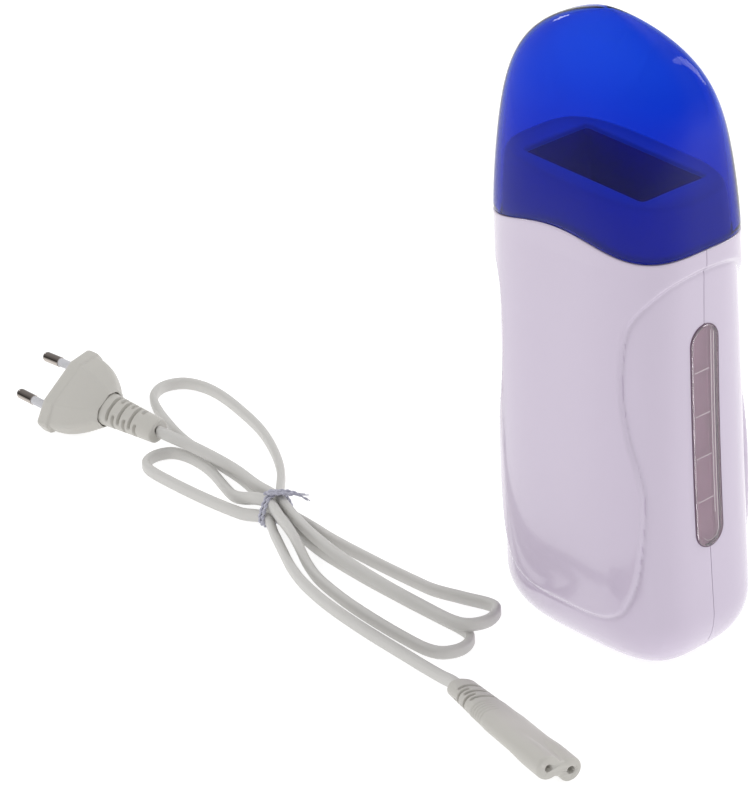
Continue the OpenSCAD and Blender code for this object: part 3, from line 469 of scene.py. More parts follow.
def plug_ring(x, w, t, side, slope, radius):
    """Plug section at x: eight-cornered, w across and t thick, side high at its ends, slope across."""
    a, b, s = w / 2, t / 2, side / 2
    corners = [(a, -s), (a, s), (a - slope, b), (-a + slope, b), (-a, s), (-a, -s), (-a + slope, -b),
               (a - slope, -b)]
    ring = rounded_outline(corners, radius)
    return np.concatenate([np.full((len(ring), 1), x), ring], 1)


# x, width, thickness, end height, slope and corner radius of the plug's sections, from the pins' face back
PLUG_STATIONS = [
    (0, 33.4, 12, 4.6, 8, 1.2), (-0.3, 34.4, 12.9, 5, 8.1, 1.5), (-0.9, 35, 13.5, 5.3, 8.2, 1.8),
    (-1.8, 35.3, 13.7, 5.4, 8.2, 1.9), (-4.6, 35.2, 13.6, 5.4, 8.2, 1.9), (-5.3, 34.8, 13.5, 5.2, 8.1, 1.8),
    (-5.7, 33.7, 13.3, 4.9, 7.8, 1.7), (-6, 32.7, 13.2, 4.8, 7.5, 1.7), (-6.6, 32.5, 13.2, 4.9, 7.5, 1.9),
    (-8.5, 32.3, 13.2, 5.2, 7.6, 2.4), (-11, 31.4, 13.2, 5.4, 7.5, 2.6), (-13.5, 29.9, 13.1, 5.6, 7.2, 2.8),
    (-16, 27.6, 12.9, 5.8, 6.6, 3), (-18.5, 24.6, 12.6, 5.8, 5.8, 3), (-20.7, 21.4, 12.2, 5.7, 4.9, 2.9),
    (-22.5, 18.2, 11.8, 5.6, 4.1, 2.7), (-24, 15.8, 11.3, 5.4, 3.6, 2.5), (-24.8, 14.4, 10.9, 5.2, 3.3, 2.4),
    (-25, 13.6, 10.6, 5.1, 3.1, 2.4), (-24.4, 13.2, 10.3, 5, 3, 2.4), (-22.6, 13.1, 10.2, 5, 3, 2.4)]


def make_plug():
    """Plug body through its sections, flattened where its lowest edge rests on the floor."""
    rings = put(np.array([plug_ring(*row) for row in spline(PLUG_STATIONS, 4)]), PLUG_AT)
    rings[..., 2] = np.maximum(rings[..., 2], FLOOR_GAP)
    return wear(loft("plug_shell", rings, HEATER, sharp=50), PLUG)


def oval(a, w, t):
    """Superellipse of power OVAL_POWER, w across and t thick, at angles a from the +Y side."""
    c, s = np.cos(a), np.sin(a)
    return np.stack([w / 2 * np.sign(c) * np.abs(c) ** (2 / OVAL_POWER),
                     t / 2 * np.sign(s) * np.abs(s) ** (2 / OVAL_POWER)], -1)


def make_relief(name, seat, start, length, first, last, slots, slot_w, depth):
    """Tapered oval sleeve along -X from start, cut by staggered rounded slots: a slot at x0 facing the
    angle a0 sinks the wall by depth inside its width and inside 62 degrees each side of a0. The far end is
    rounded, and the cord's mouth is sunk in it."""
    x = np.linspace(0, length, 150)
    a = np.linspace(0, 2 * np.pi, 72, endpoint=False)
    taper = (x / length)[:, None] ** 0.85
    w = first[0] + (last[0] - first[0]) * taper
    t = first[1] + (last[1] - first[1]) * taper
    sink = np.zeros((len(x), len(a)))
    for x0, a0 in slots:
        inside = 1 - smooth((np.abs(x - x0) - slot_w / 2 + 0.22) / 0.44)[:, None]
        away = np.abs((a - np.radians(a0) + np.pi) % (2 * np.pi) - np.pi)
        sink = np.maximum(sink, inside * (1 - smooth((np.degrees(away) - 55) / 14))[None] * depth)
    edge = np.maximum(0, RELIEF_ROUND - (length - x))[:, None]
    shrink = sink + (RELIEF_ROUND - np.sqrt(np.maximum(0, RELIEF_ROUND ** 2 - edge ** 2)))
    ring = oval(a[None], (w - 2 * shrink), (t - 2 * shrink))
    points = np.concatenate([np.broadcast_to(start - x[:, None, None], ring.shape[:2] + (1,)), ring], -1)
    hole = points[-1:].copy()
    hole[..., 1:] = oval(a, *RELIEF_MOUTH)[None]
    deep = hole.copy()
    deep[..., 0] += 2.5
    return wear(loft(name, put(np.concatenate([points, hole, deep]), seat), HEATER, sharp=40), PLUG)


def double_round(a, c, r, waist):
    """Radius at each angle of two circles of radius r at +-c joined by a bar of half-height waist, its
    inner corners softened by a running mean of five."""
    ca, sa = np.abs(np.cos(a)), np.abs(np.sin(a))
    root = r * r - (c * sa) ** 2
    lobes = np.where(root > 0, c * ca + np.sqrt(np.maximum(root, 0)), 0)
    bar = np.minimum(c / np.maximum(ca, 1e-6), waist / np.maximum(sa, 1e-6))
    radius = np.maximum(lobes, bar)
    kernel = np.array([1, 2, 3, 2, 1]) / 9
    return np.convolve(np.concatenate([radius[-2:], radius, radius[:2]]), kernel, "valid")


def make_connector():
    """Flat body whose section runs from two joined round lobes at the face to one oval behind, with a bore
    in each lobe and fine grooves, with low ribs between them, on the side that faces the camera."""
    a = np.linspace(0, 2 * np.pi, 144, endpoint=False)
    x = np.concatenate([[0, 0.12, 0.4, 0.8], np.linspace(1.4, 42, 170)])
    lobes = double_round(a, LOBE_AT, LOBE_R, WAIST)
    w = np.interp(x, [0, 20, 26, 32.5, 36, 42], [16.8, 16.8, 16.8, 16.7, 15.5, 14.8])
    t = np.interp(x, [0, 20, 30, 42], [8.2, 8.2, 8.1, 7.7])
    flat = oval(a[None], w[:, None], t[:, None])
    keep = (1 - smooth((x - 9) / 12))[:, None, None]
    two = lobes[None, :, None] * np.stack([np.cos(a), np.sin(a)], -1)[None]
    ring = two * keep + flat * (1 - keep)
    draw = np.interp(x, [0, 0.12, 0.4, 0.8, 1.4], [0.7, 0.42, 0.16, 0.04, 0])[:, None, None]
    near = smooth((-np.cos(a) - 0.1) / 0.3)[None, :, None]
    grooves = sum(np.exp(-((x - at) / FINE_GROOVE) ** 2) for at in FINE_GROOVES)[:, None, None]
    draw = draw + FINE_GROOVE * grooves * near
    ring = ring * (1 - draw / np.linalg.norm(ring, axis=-1, keepdims=True))
    points = np.concatenate([np.broadcast_to(-x[:, None, None], ring.shape[:2] + (1,)), ring], -1)
    body = wear(loft("connector_shell", put(points, CONNECTOR_AT), HEATER, sharp=40), PLUG)
    holes = []
    b = np.linspace(0, 2 * np.pi, 32, endpoint=False)
    for side in (-1, 1):
        # the cutting shape starts wider, ahead of the face, and is closed almost to a point at its end
        depth = np.array([2.0, 0, -BORE_DEPTH, -BORE_DEPTH - 0.01])
        radius = np.array([BORE_R + 0.4, BORE_R, BORE_R, 0.02])
        bore = np.stack([np.broadcast_to(depth[:, None], (len(depth), len(b))),
                         side * LOBE_AT + radius[:, None] * np.cos(b), radius[:, None] * np.sin(b)], -1)
        holes.append(loft(f"bore_{side}", put(bore, CONNECTOR_AT), None))
    cut(body, holes)
    return body


def cut(piece, tools):
    """Takes the tools' shapes out of the piece, and removes the tools."""
    for tool in tools:
        step = piece.modifiers.new("cut", "BOOLEAN")
        step.operation, step.solver, step.object = "DIFFERENCE", "EXACT", tool
        bpy.context.view_layer.update()
        shaped = bpy.data.meshes.new_from_object(piece.evaluated_get(bpy.context.evaluated_depsgraph_get()))
        piece.modifiers.clear()
        old, piece.data = piece.data, shaped
        shaped.name = piece.name
        bpy.data.meshes.remove(old)
        bpy.data.objects.remove(tool)


# ---------------------------------------------------------------- heater body
TOTAL_H, RIM_Z, RIM_WAVE = 215.0, 146.0, 5.2
FOOT_W, GRIP_W, RIM_W = 82.5, 75.8, 79.0
FOOT_D, GRIP_D, RIM_D = 55.0, 57.0, 53.0
POWER, SHELL_WALL, LIFT = 3.6, 2.2, 1.2
ROUND_H, ROUND_W, ROUND_D = 20.0, 16.0, 14.0
WINDOW_LOW, WINDOW_HIGH, WINDOW_R, WINDOW_GAP = 43.0, 120.5, 6.0, 0.12
SEAM, INNER_FLOOR = 0.1, 2.4
# Holes in the back: their size and place, and the Y that each starts from; all end outside, at HOLE_END
INLET_W, INLET_H, INLET_Z, INLET_START = 21.0, 13.0, 28, 12
SCREW_R, SCREW_PLACES, SCREW_START = 3.0, ((17, 15), (28.5, 34)), 6
HOLE_END = 40
# The raised front panel's edge: height, and angle round the plan from the front's middle in degrees. The
# first and last points carry the line on past the middle and past the side.
PANEL_LOW, PANEL_HIGH = 19.4, 139.8
PANEL_EDGE = [(PANEL_LOW, -8), (PANEL_LOW, 0), (19.6, 6), (20.6, 14), (23.5, 23), (27, 28.5), (37, 38),
              (50, 44), (62, 47), (68, 46.6), (76, 43), (87, 36), (100, 31.4), (111, 31), (121, 33.4),
              (128, 40), (134, 55), (138, 72), (PANEL_HIGH, 90), (PANEL_HIGH, 96)]
PANEL_BAND, GROOVE_DEPTH, GROOVE_AT, GROOVE_W = 2.2, 0.22, 1.25, 0.55
# The mesh's rows up the wall: each span's upper end and its number of rows, ends included. They stand
# closer at the window's round ends. The inner wall starts at INNER_FLOOR, above the first span's end, so its
# first rows run down before they climb, hidden in the foot.
WALL_TOP, SHELL_COLS = 143, 210
LEVEL_SPANS = ((1.2, 5), (20, 34), (42.6, 34), (45, 9), (49, 8), (114.5, 64), (118.5, 8), (120.9, 9),
               (WALL_TOP, 40))


def through3(t, v0, v1, v2):
    """Parabola through v0 at 0, v1 at a half and v2 at 1."""
    return v0 * (1 - t) * (1 - 2 * t) + v1 * 4 * t * (1 - t) + v2 * t * (2 * t - 1)


def foot_cut(z):
    """0 above the rounded foot, rising to 1 at the floor along a quarter circle."""
    below = 1 - np.minimum(z, ROUND_H) / ROUND_H
    return np.where(z >= ROUND_H, 0, 1 - np.sqrt(np.maximum(0, 1 - below ** 2)))


def wall_half(z, foot, grip, rim, round_in):
    """Half-size of the wall at z: the parabola through three full sizes, at the floor, halfway and at the
    rim without its raised collar, less round_in times the foot's cut."""
    return through3(np.minimum(z, RIM_Z) / RIM_Z, foot, grip, rim - 2 * LIFT) / 2 - round_in * foot_cut(z)


def body_a(z):
    """Half-width of the wall at z."""
    return wall_half(z, FOOT_W, GRIP_W, RIM_W, ROUND_W)


def body_b(z):
    """Half-depth of the wall at z."""
    return wall_half(z, FOOT_D, GRIP_D, RIM_D, ROUND_D)


def plan(theta, a, b):
    """Superellipse |x/a|^n + |y/b|^n = 1 at the angle theta from -Y towards +X."""
    s, c = np.sin(theta), np.cos(theta)
    r = (np.abs(s / a) ** POWER + np.abs(c / b) ** POWER) ** (-1 / POWER)
    return r * s, -r * c


def rim_at(x, y):
    """Height of the rim over a point of the plan: highest at the middle of the front and the back."""
    return RIM_Z + RIM_WAVE * np.cos(np.pi / 2 * np.minimum(1, np.abs(x) / (RIM_W / 2))) ** 2 * np.clip(
        (np.abs(y) / (RIM_D / 2) - 0.6) / 0.4, 0, 1)


def raised(x, y, z, b):
    """1 on the raised panels and the collar, 0 on the grips, with a smooth step along the panel's edge and
    a fine groove at its foot. Distance is taken on the wall laid flat: along it from the front's middle,
    as the way across plus the way back, and up."""
    level, angle = spline(PANEL_EDGE, 8).T
    f = np.radians(np.clip(angle, 0, 90))
    across, ahead = body_a(level) * np.sin(f) ** (2 / POWER), body_b(level) * np.cos(f) ** (2 / POWER)
    reach = np.maximum(across, 0) + (body_b(level) - ahead)
    reach = np.where(angle < 0, angle, reach)
    reach = np.where(angle > 90, reach + 6, reach)
    own = np.abs(x) + (b - np.abs(y))
    p = np.stack([own.ravel(), z.ravel()], 1)
    q = np.stack([reach, level], 1)
    s, d = q[:-1], q[1:] - q[:-1]
    best = np.full(len(p), 1e9)
    for k in range(len(s)):
        u = np.clip(((p - s[k]) @ d[k]) / (d[k] @ d[k] + 1e-12), 0, 1)
        best = np.minimum(best, np.hypot(*(p - s[k] - u[:, None] * d[k]).T))
    limit = np.interp(p[:, 1], level, reach)
    inside = ((p[:, 0] < limit) & (p[:, 1] > PANEL_LOW)) | (p[:, 1] > PANEL_HIGH)
    signed = np.where(inside, best, -best).reshape(x.shape)
    return smooth(signed / PANEL_BAND + 0.5) - GROOVE_DEPTH * np.exp(-((signed + GROOVE_AT) / GROOVE_W) ** 2)


def window_half(z, extra):
    """Half-width of the window's round-ended outline at z, grown by extra; 0 outside it."""
    r = WINDOW_R + extra
    low, high = WINDOW_LOW + WINDOW_R, WINDOW_HIGH - WINDOW_R
    u = np.where(z < low, low - z, np.where(z > high, z - high, 0))
    return np.sqrt(np.maximum(0, r * r - u * u))


def shell_grid(drop, levels):
    """Grid of one half: rows go up, columns from the seam at -X round the front to the seam at +X.
    The seam keeps SEAM clear of y = 0, and the last column follows the window's outline."""
    z = levels[:, None]
    a, b = body_a(z) - drop, body_b(z) - drop
    half = np.maximum(SEAM, window_half(z, WINDOW_GAP))
    u = np.linspace(0, 1, SHELL_COLS)[None]
    full = np.pi / 2 - np.arctan(SEAM / a)
    # only the last fifth of the columns gives way to the window, so that the rows stay even elsewhere
    theta = -full + 2 * full * u + (np.arctan(SEAM / a) - np.arctan(half / a)) * smooth((u - 0.8) / 0.2)
    x, y = plan(theta, a, b)
    gain = raised(x, y, z + 0 * x, b) * LIFT
    x, y = x * (1 + gain / a), y * (1 + gain / b)
    y[:, 0], y[:, -1] = -SEAM, -half[:, 0]
    return x, y, z + 0 * x


def shell_levels(base):
    """Heights of the rows from base on, evenly spaced inside each of LEVEL_SPANS."""
    low, levels = base, [[base]]
    for high, rows in LEVEL_SPANS:
        levels.append(np.linspace(low, high, rows)[1:])
        low = high
    return np.concatenate(levels)


def make_shell(name, back):
    """One half of the case: its outer and inner grids, each with a flat floor row below and five rows above
    that rise to the rim. The outer ones draw in there, by pull, to round the edge. The back half is the
    front half mirrored."""
    rise = np.array([0.35, 0.7, 0.9, 0.97, 1.0])[:, None]
    grids = []
    for drop, base, pull in ((0.0, 0.0, [0, 0, 0, 0.12, 0.4]), (SHELL_WALL, INNER_FLOOR, [0, 0, 0, 0, 0])):
        x, y, z = shell_grid(drop, shell_levels(base))
        pull = np.array(pull)[:, None]
        top_z = WALL_TOP + (rim_at(x[-1], y[-1])[None] - WALL_TOP) * rise
        top_x = x[-1][None] * (1 - pull / 38) + 0 * top_z
        top_y = y[-1][None] * (1 - pull / 26) + 0 * top_z
        top_y[:, 0], top_y[:, -1] = -SEAM, -SEAM
        x, y, z = (np.concatenate([low, top]) for low, top in ((x, top_x), (y, top_y), (z, top_z)))
        floor = np.stack([x[0] * 0.98, np.full(SHELL_COLS, -SEAM), z[0]], -1)
        grids.append(np.concatenate([floor[None], np.stack([x, y, z], -1)]))
    if back:
        for grid in grids:
            grid[..., 1] *= -1
    return wear(sheet_between(name, grids[0], grids[1], HEATER, sharp=60), SHELL)


def round_tool(outline, start, place):
    """Prism along Y from start to HOLE_END, whose outline in X and Z is given, about place, to cut with."""
    ring = np.stack([outline[:, 0] + place[0], np.zeros(len(outline)), outline[:, 1] + place[1]], -1)
    low, high = ring.copy(), ring.copy()
    low[:, 1], high[:, 1] = start, HOLE_END
    return loft("prism", np.array([low, high]), None)


def circle(r, n=40):
    """n points round a circle."""
    a = np.linspace(0, 2 * np.pi, n, endpoint=False)
    return np.stack([r * np.cos(a), r * np.sin(a)], 1)


def flat_oval(w, t, n=24):
    """Bar w across with half-round ends t high: n points round the right end, and the same turned half
    round for the left."""
    a = np.linspace(-np.pi / 2, np.pi / 2, n)
    right = np.stack([(w - t) / 2 + t / 2 * np.cos(a), t / 2 * np.sin(a)], 1)
    return np.concatenate([right, -right])


front = make_shell("shell_front", False)
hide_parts("front_shell")
rear = make_shell("shell_rear", True)
cut(rear, [round_tool(flat_oval(INLET_W, INLET_H), INLET_START, (0, INLET_Z))] + [
    round_tool(circle(SCREW_R), SCREW_START, (side * x, z)) for side in (-1, 1) for x, z in SCREW_PLACES])
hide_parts("rear_shell")


# ---------------------------------------------------------------- cap
CAP_WALL, CROWN_WALL, CAP_GAP = 2.0, 1.0, 0.4
CAP_ROWS, CAP_COLS = 110, 220
# Each of the crown's two outlines is (1 - t^p)^(1/q) of its half-size, with t from 0 at the edge to 1 at
# the top.
WIDE_P, WIDE_Q = 6, 1.35
DEEP_P, DEEP_Q = 1.44, 1.53


def cap_rings(inset, top):
    """Level rings of the cap, from its edge up to top: both outlines of the crown on the edge's plan,
    whose half-sizes are the rim's less the inset."""
    w, d = RIM_W / 2 - inset, RIM_D / 2 - inset
    t = np.append(np.sin(np.pi / 2 * np.linspace(0, 1, CAP_ROWS)[:-1]), 0.9995)[:, None]
    a = w * (1 - t ** WIDE_P) ** (1 / WIDE_Q)
    b = d * (1 - t ** DEEP_P) ** (1 / DEEP_Q)
    f = np.linspace(0, 2 * np.pi, CAP_COLS, endpoint=False)[None]
    # equal angles on the edge's plan, kept as shares of the half-widths further up
    ex, ey = plan(f, w, d)
    x, y = ex / w * a, ey / d * b
    low = CAP_GAP + rim_at(ex / w * RIM_W / 2, ey / d * RIM_D / 2)
    z = low + (top - low) * t
    z[-1] = top
    return np.stack([x, y, z], -1)


def make_cap():
    """Closed hood whose wall thins from CAP_WALL at the edge to CROWN_WALL halfway up the rows. The outer
    edge is drawn in by an eighth of the wall, to take off its corner."""
    outer = cap_rings(0, TOTAL_H)
    wall = CAP_WALL - (CAP_WALL - CROWN_WALL) * smooth(np.linspace(0, 1, CAP_ROWS) / 0.5)[:, None]
    inner = cap_rings(wall, TOTAL_H - CROWN_WALL)
    lip = (outer[:1] + inner[:1]) / 2
    lip[..., 2] = outer[0, :, 2]
    outer[0] += (lip[0] - outer[0]) * 0.25
    outer[1, :, 2] = outer[0, :, 2] + np.maximum(0.4, outer[1, :, 2] - outer[0, :, 2])
    rings = np.concatenate([outer[::-1], inner])
    return wear(loft("cap_shell", rings, CAP, sharp=50), BLUE)


cap = make_cap()
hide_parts("cap")


# ---------------------------------------------------------------- neck and deck
DECK_Z, DECK_FALL = 164.5, np.tan(np.radians(3.5))
NECK_Z, NECK_INSET, NECK_GAP = 132, 2.65, 0.75
WELL_HALF_W, WELL_HALF_D, WELL_R = 26.5, 14.0, 1.5
# Outside of the neck from its foot to the deck: share of the height, and how far the wall is drawn in
NECK_OUTSIDE = ((0, 1.25), (0.13, 1.25), (0.28, 0), (0.45, 0), (0.6, 0), (0.7, 0), (0.8, 0), (0.88, 0.02),
                (0.93, 0.1), (0.96, 0.25), (0.98, 0.5), (0.993, 0.85), (1.0, 1.4))
# Edge of the well: how far below the deck, and how much wider than the well
WELL_EDGE = ((0, 3.0), (0, 0.8), (0.06, 0.5), (0.25, 0.2), (0.6, 0.02), (1.0, 0), (2.0, 0))
# Inside of the neck, back down under the deck, as NECK_OUTSIDE
NECK_INSIDE = ((1.0, 3.4), (0.97, 2.6), (0.8, 2.0), (0.6, 2.0), (0.28, 2.0), (0.13, 3.25), (0, 3.25))
DECK_WALL = 2.0


def round_box(theta, w, d, r):
    """Rounded rectangle of half-sizes w and d at angles theta from -Y towards +X: what lies past a corner's
    circle is drawn in along its ray, in three passes."""
    s, c = np.sin(theta), -np.cos(theta)
    k = np.minimum(w / np.maximum(np.abs(s), 1e-9), d / np.maximum(np.abs(c), 1e-9))
    x, y = k * s, k * c
    ox, oy = np.abs(x) - (w - r), np.abs(y) - (d - r)
    corner = (ox > 0) & (oy > 0)
    for _ in range(3):
        over = np.hypot(ox, oy)
        shrink = np.where(corner & (over > r), (over - r) * 0.8 / np.hypot(x, y), 0)
        x, y = x * (1 - shrink), y * (1 - shrink)
        ox, oy = np.abs(x) - (w - r), np.abs(y) - (d - r)
        corner = (ox > 0) & (oy > 0)
    return x, y


def neck_half_depth(z):
    """Half-depth of the neck at z: NECK_INSET inside the rim, and further up NECK_GAP inside the cap's
    inner outline."""
    t = np.clip((z - RIM_Z) / (TOTAL_H - CAP_WALL - RIM_Z), 0, 1)
    inside = (RIM_D / 2 - CAP_WALL) * (1 - t ** DEEP_P) ** (1 / DEEP_Q)
    return np.minimum(RIM_D / 2 - NECK_INSET, inside - NECK_GAP)


def make_neck():
    """Neck and deck as one closed ring: up the outside, over the sloping deck to the well, down its edge
    and back under the deck."""
    theta = np.linspace(0, 2 * np.pi, 288, endpoint=False)
    rings = []

    def wall(u, draw, down=0.0):
        """Ring at the share u of the height to the deck, drawn in, and down below the deck's top."""
        nominal = NECK_Z + (DECK_Z - down - NECK_Z) * u
        x, y = plan(theta, RIM_W / 2 - NECK_INSET - draw, neck_half_depth(nominal + down) - draw)
        top = DECK_Z - down - x * DECK_FALL
        rings.append(np.stack([x, y, NECK_Z + (top - NECK_Z) * u], -1))

    def well(down, grow):
        """Ring of the well's outline, grown, at this depth below the deck's top."""
        x, y = round_box(theta, WELL_HALF_W + grow, WELL_HALF_D + grow, WELL_R + grow)
        rings.append(np.stack([x, y, DECK_Z - down - x * DECK_FALL], -1))

    for u, draw in NECK_OUTSIDE:
        wall(u, draw)
    for down, grow in WELL_EDGE:
        well(down, grow)
    for u, draw in NECK_INSIDE:
        wall(u, draw, DECK_WALL)
    return wear(loft("neck_and_deck", np.array(rings), HEATER, loop=True), NECK_PAINTED_LIGHT)


neck = make_neck()
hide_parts("neck_collar")


# ---------------------------------------------------------------- window
LENS_OUT, LENS_BACK, LENS_ROUND = 0.7, -1.7, 0.9
BEVEL_FROM, BEVEL_RUN, BEVEL_DROP = 2.2, 1.4, 0.4
STRIP_OUT, STRIP_BACK, STRIP_INSET = -1.76, -2.25, 0.5
RIB_PLACES, RIB_HEIGHT, RIB_W = (2.2, 3.7), 0.11, 0.22
# Level marks: the height of each, and how far it reaches towards +Y
MARK_FROM, MARK_W, MARK_TOP, MARK_BACK = -5.2, 0.46, 0.76, 0.6
MARKS = ((105.5, 1.2), (90.3, 1.4), (75.6, 1.6), (60.3, 1.8))


def wall_x(y, z):
    """Distance of the smooth side wall from the middle plane at the height z, y from its centre line."""
    return body_a(z) * (1 - (np.abs(y) / body_b(z)) ** POWER) ** (1 / POWER)


def lens_grid(out, rows, cols, grow=0.0):
    """Rows up the window, columns across, its outline grown by grow. A face that stands out has a rounded
    edge, and a bevel on its far side that falls by BEVEL_DROP towards +Y."""
    c = (1 - np.cos(np.linspace(0, np.pi, rows))) / 2
    low, high = WINDOW_LOW - grow, WINDOW_HIGH + grow
    z = (low + 0.02 + (high - low - 0.04) * c)[:, None]
    half = np.maximum(0.2, window_half(z, grow))
    y = np.sin(np.linspace(-1, 1, cols) * np.pi / 2)[None] * half
    u = np.maximum(0, np.maximum(WINDOW_LOW + WINDOW_R - z, z - WINDOW_HIGH + WINDOW_R))
    inset = np.maximum(0, WINDOW_R + grow - np.hypot(y, u))
    lift = out + 0 * y
    if out > 0:
        lift = out - (LENS_ROUND - np.sqrt(LENS_ROUND ** 2 - np.maximum(0, LENS_ROUND - inset) ** 2))
        fall = np.clip((y - BEVEL_FROM) / BEVEL_RUN, 0, 1)
        lift = lift - BEVEL_DROP * fall * np.minimum(1, inset / LENS_ROUND)
    return np.stack([wall_x(y, z) + lift, y, z + 0 * y], -1)


def make_lens():
    """The glass, between its curved face and its back."""
    face, back = (lens_grid(out, 150, 65) for out in (LENS_OUT, LENS_BACK))
    return wear(sheet_between("window_glass", face, back, HEATER, sharp=45), LENS)


def make_lens_edges():
    """Dark edge round the glass as painted shade of its joint, and two pale beads as painted highlights where
    its
    bevel starts and ends: one straight, and one that runs down beside the outline and round the lower end.
    All are thin tubes along a path on the wall."""
    def tube(name, y, z, out, radius, material):
        """Circle carried along the path, which stands out from the wall."""
        path = even(np.stack([wall_x(y, z) + out, y, z], 1), 0.6)
        d = unit(np.gradient(path, axis=0))
        across = unit(np.cross(d, [1.0, 0, 0]))
        up = np.cross(across, d)
        a = np.linspace(0, 2 * np.pi, 10, endpoint=False)[None, :, None]
        rings = path[:, None] + radius * (np.cos(a) * across[:, None] + np.sin(a) * up[:, None])
        return wear(loft(name, rings, HEATER, sharp=80), material)

    low, high = WINDOW_LOW + WINDOW_R, WINDOW_HIGH - WINDOW_R
    r = WINDOW_R - 0.03
    arc = np.radians(np.linspace(0, 90, 20))
    for side in (-1, 1):
        # half the outline: half of the lower end, up the side, half of the upper end
        y = np.concatenate([r * np.sin(arc), np.full(90, r), r * np.cos(arc)]) * side
        z = np.concatenate([low - r * np.cos(arc), np.linspace(low, high, 90), high + r * np.sin(arc)])
        # the dark edge is painted shade of the joint between glass and wall
        tube(f"window_edge_{side}", y, z, out=0.12, radius=0.24, material=JOINT_SHADE)
    # both pale beads below are painted highlights along the lens's bevel
    tube("window_highlight_bead_straight", np.full(60, BEVEL_FROM), np.linspace(54.5, 118.2, 60),
         out=0.64, radius=0.17, material=HIGHLIGHT_BEAD)
    bend_r, bend = 3.75, np.radians(np.linspace(0, 150, 30))
    tube("window_highlight_bead_bent", np.concatenate([np.full(60, bend_r), bend_r * np.cos(bend)]),
         np.concatenate([np.linspace(117.2, low, 60), low - bend_r * np.sin(bend)]),
         out=0.28, radius=0.2, material=HIGHLIGHT_BEAD)


def make_sight():
    """Strip just behind the glass, with two low ribs along it where the glass is bevelled."""
    front, back = (lens_grid(out, 150, 97, -STRIP_INSET) for out in (STRIP_OUT, STRIP_BACK))
    for rib in RIB_PLACES:
        front[..., 0] -= RIB_HEIGHT * (1 - np.exp(-((front[..., 1] - rib) / RIB_W) ** 2))
    return wear(sheet_between("window_strip", front, back, HEATER, sharp=60), SIGHT)


lens = make_lens()
make_sight()
make_lens_edges()
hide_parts("window_lens")


def make_ticks():
    """Short level marks, each a thin raised bar from near the lens's front edge across."""
    for k, (middle, reach) in enumerate(MARKS):
        y = np.linspace(MARK_FROM, reach, 14)[None]
        z = np.linspace(middle - MARK_W / 2, middle + MARK_W / 2, 4)[:, None]
        face, back = (np.stack([wall_x(y, z) + h, y + 0 * z, z + 0 * y], -1) for h in (MARK_TOP, MARK_BACK))
        wear(sheet_between(f"level_mark_{k}", face, back, HEATER), TICK)


make_ticks()

# ---------------------------------------------------------------- cord set
plug = make_plug()
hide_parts("plug_body")


def slots_at(flat, narrow):
    """Places of a strain relief's slots: on both flat sides, and between them on both narrow sides."""
    return [(x, side) for x in flat for side in (90, 270)] + [(x, side) for x in narrow for side in (0, 180)]


plug_sleeve = make_relief("plug_strain_relief", PLUG_AT, -22.4, 28.8, (13.3, 10.5), (9.6, 8.2),
                          slots_at((6.6, 12.2, 17.8), (9.4, 15.0, 20.6)), 1.2, 1.4)
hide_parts("plug_relief")
connector = make_connector()
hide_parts("connector_body")
connector_sleeve = make_relief("connector_strain_relief", CONNECTOR_AT, -42.0, 17.0, (14.4, 7.7), (11.4, 6.8),
                               slots_at((2.6, 6.8, 11.0), (4.7, 8.9)), 0.9, 1.25)
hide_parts("connector_relief")
cord, cord_path = make_cord()
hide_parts("plug_lead", "cord_hank", "connector_lead")


STRING_R, STRING_STEP, STRING_LAY, FRAY_R = 0.42, 0.35, 4.5, 0.2
# The string's way round the five runs of cord, as Y and Z, and how far along the lean each point is
TIE_ROUND = [(-38, 0.75), (-33.6, 0.9), (-31.7, 2.6), (-31.6, 5.4), (-33.4, 9.6), (-35, 11.7), (-38, 12.3),
             (-41, 11.7), (-42.6, 9.6), (-44.4, 5.4), (-44.3, 2.6), (-42.4, 0.9), (-38, 0.75)]
TIE_LEAN = np.array([0, .1, .25, .4, .6, .8, 1, .8, .6, .4, .25, .1, 0])
KNOT = [(-141.3, -41.2, 12.7), (-139.2, -39.4, 13.3), (-137, -37, 13.3), (-136.4, -35.4, 12.5),
        (-138.1, -35.6, 12.2), (-140.4, -38.2, 12.9), (-139.6, -40.8, 13.2), (-137.4, -39.6, 13.4),
        (-135.4, -36.8, 13.1), (-133.6, -34.2, 12.4)]
STRING_END = [(-138.4, -36.2, 12.9), (-136, -35, 13.2), (-134.2, -33, 12.3), (-133, -31.4, 11.2)]
# Frayed threads: where each leaves the string, and its tip
FRAYS = [(KNOT[-1], (-130.2, -31.2, 12.6)), (KNOT[-1], (-129.4, -31, 11)),
         ((-133.2, -31.8, 11.4), (-130.8, -29.2, 11.2)), (STRING_END[-1], (-129.8, -29.6, 9.4)),
         (STRING_END[-1], (-131.8, -29.2, 8.6))]


def make_string(name, path, radius=STRING_R, plies=2):
    """Twisted string: each of its plies circles the path at 0.75 radius, once in every lay. A single ply
    keeps to the path."""
    path = even(np.asarray(path, float), STRING_STEP)
    n, m = carried_frames(path)
    twist = np.arange(len(path)) * STRING_STEP / STRING_LAY * 2 * np.pi
    a = np.linspace(0, 2 * np.pi, 8, endpoint=False)[None, :, None]
    section = radius * (np.cos(a) * n[:, None] + np.sin(a) * m[:, None])
    pieces = []
    for ply in np.arange(plies) * np.pi:
        offset = np.cos(twist + ply)[:, None] * n + np.sin(twist + ply)[:, None] * m
        middle = path + (0.75 * radius if plies > 1 else 0) * offset
        strand = loft(f"{name}_{int(ply > 0)}", middle[:, None] + section, HEATER, sharp=60)
        pieces.append(wear(strand, STRING))
    return pieces


def tie_loop(x0, x1):
    """Closed way round the five runs, leaning from x0 below to x1 above."""
    return [(TIE_X + x, y, z) for x, (y, z) in zip(x0 + (x1 - x0) * TIE_LEAN, TIE_ROUND)]


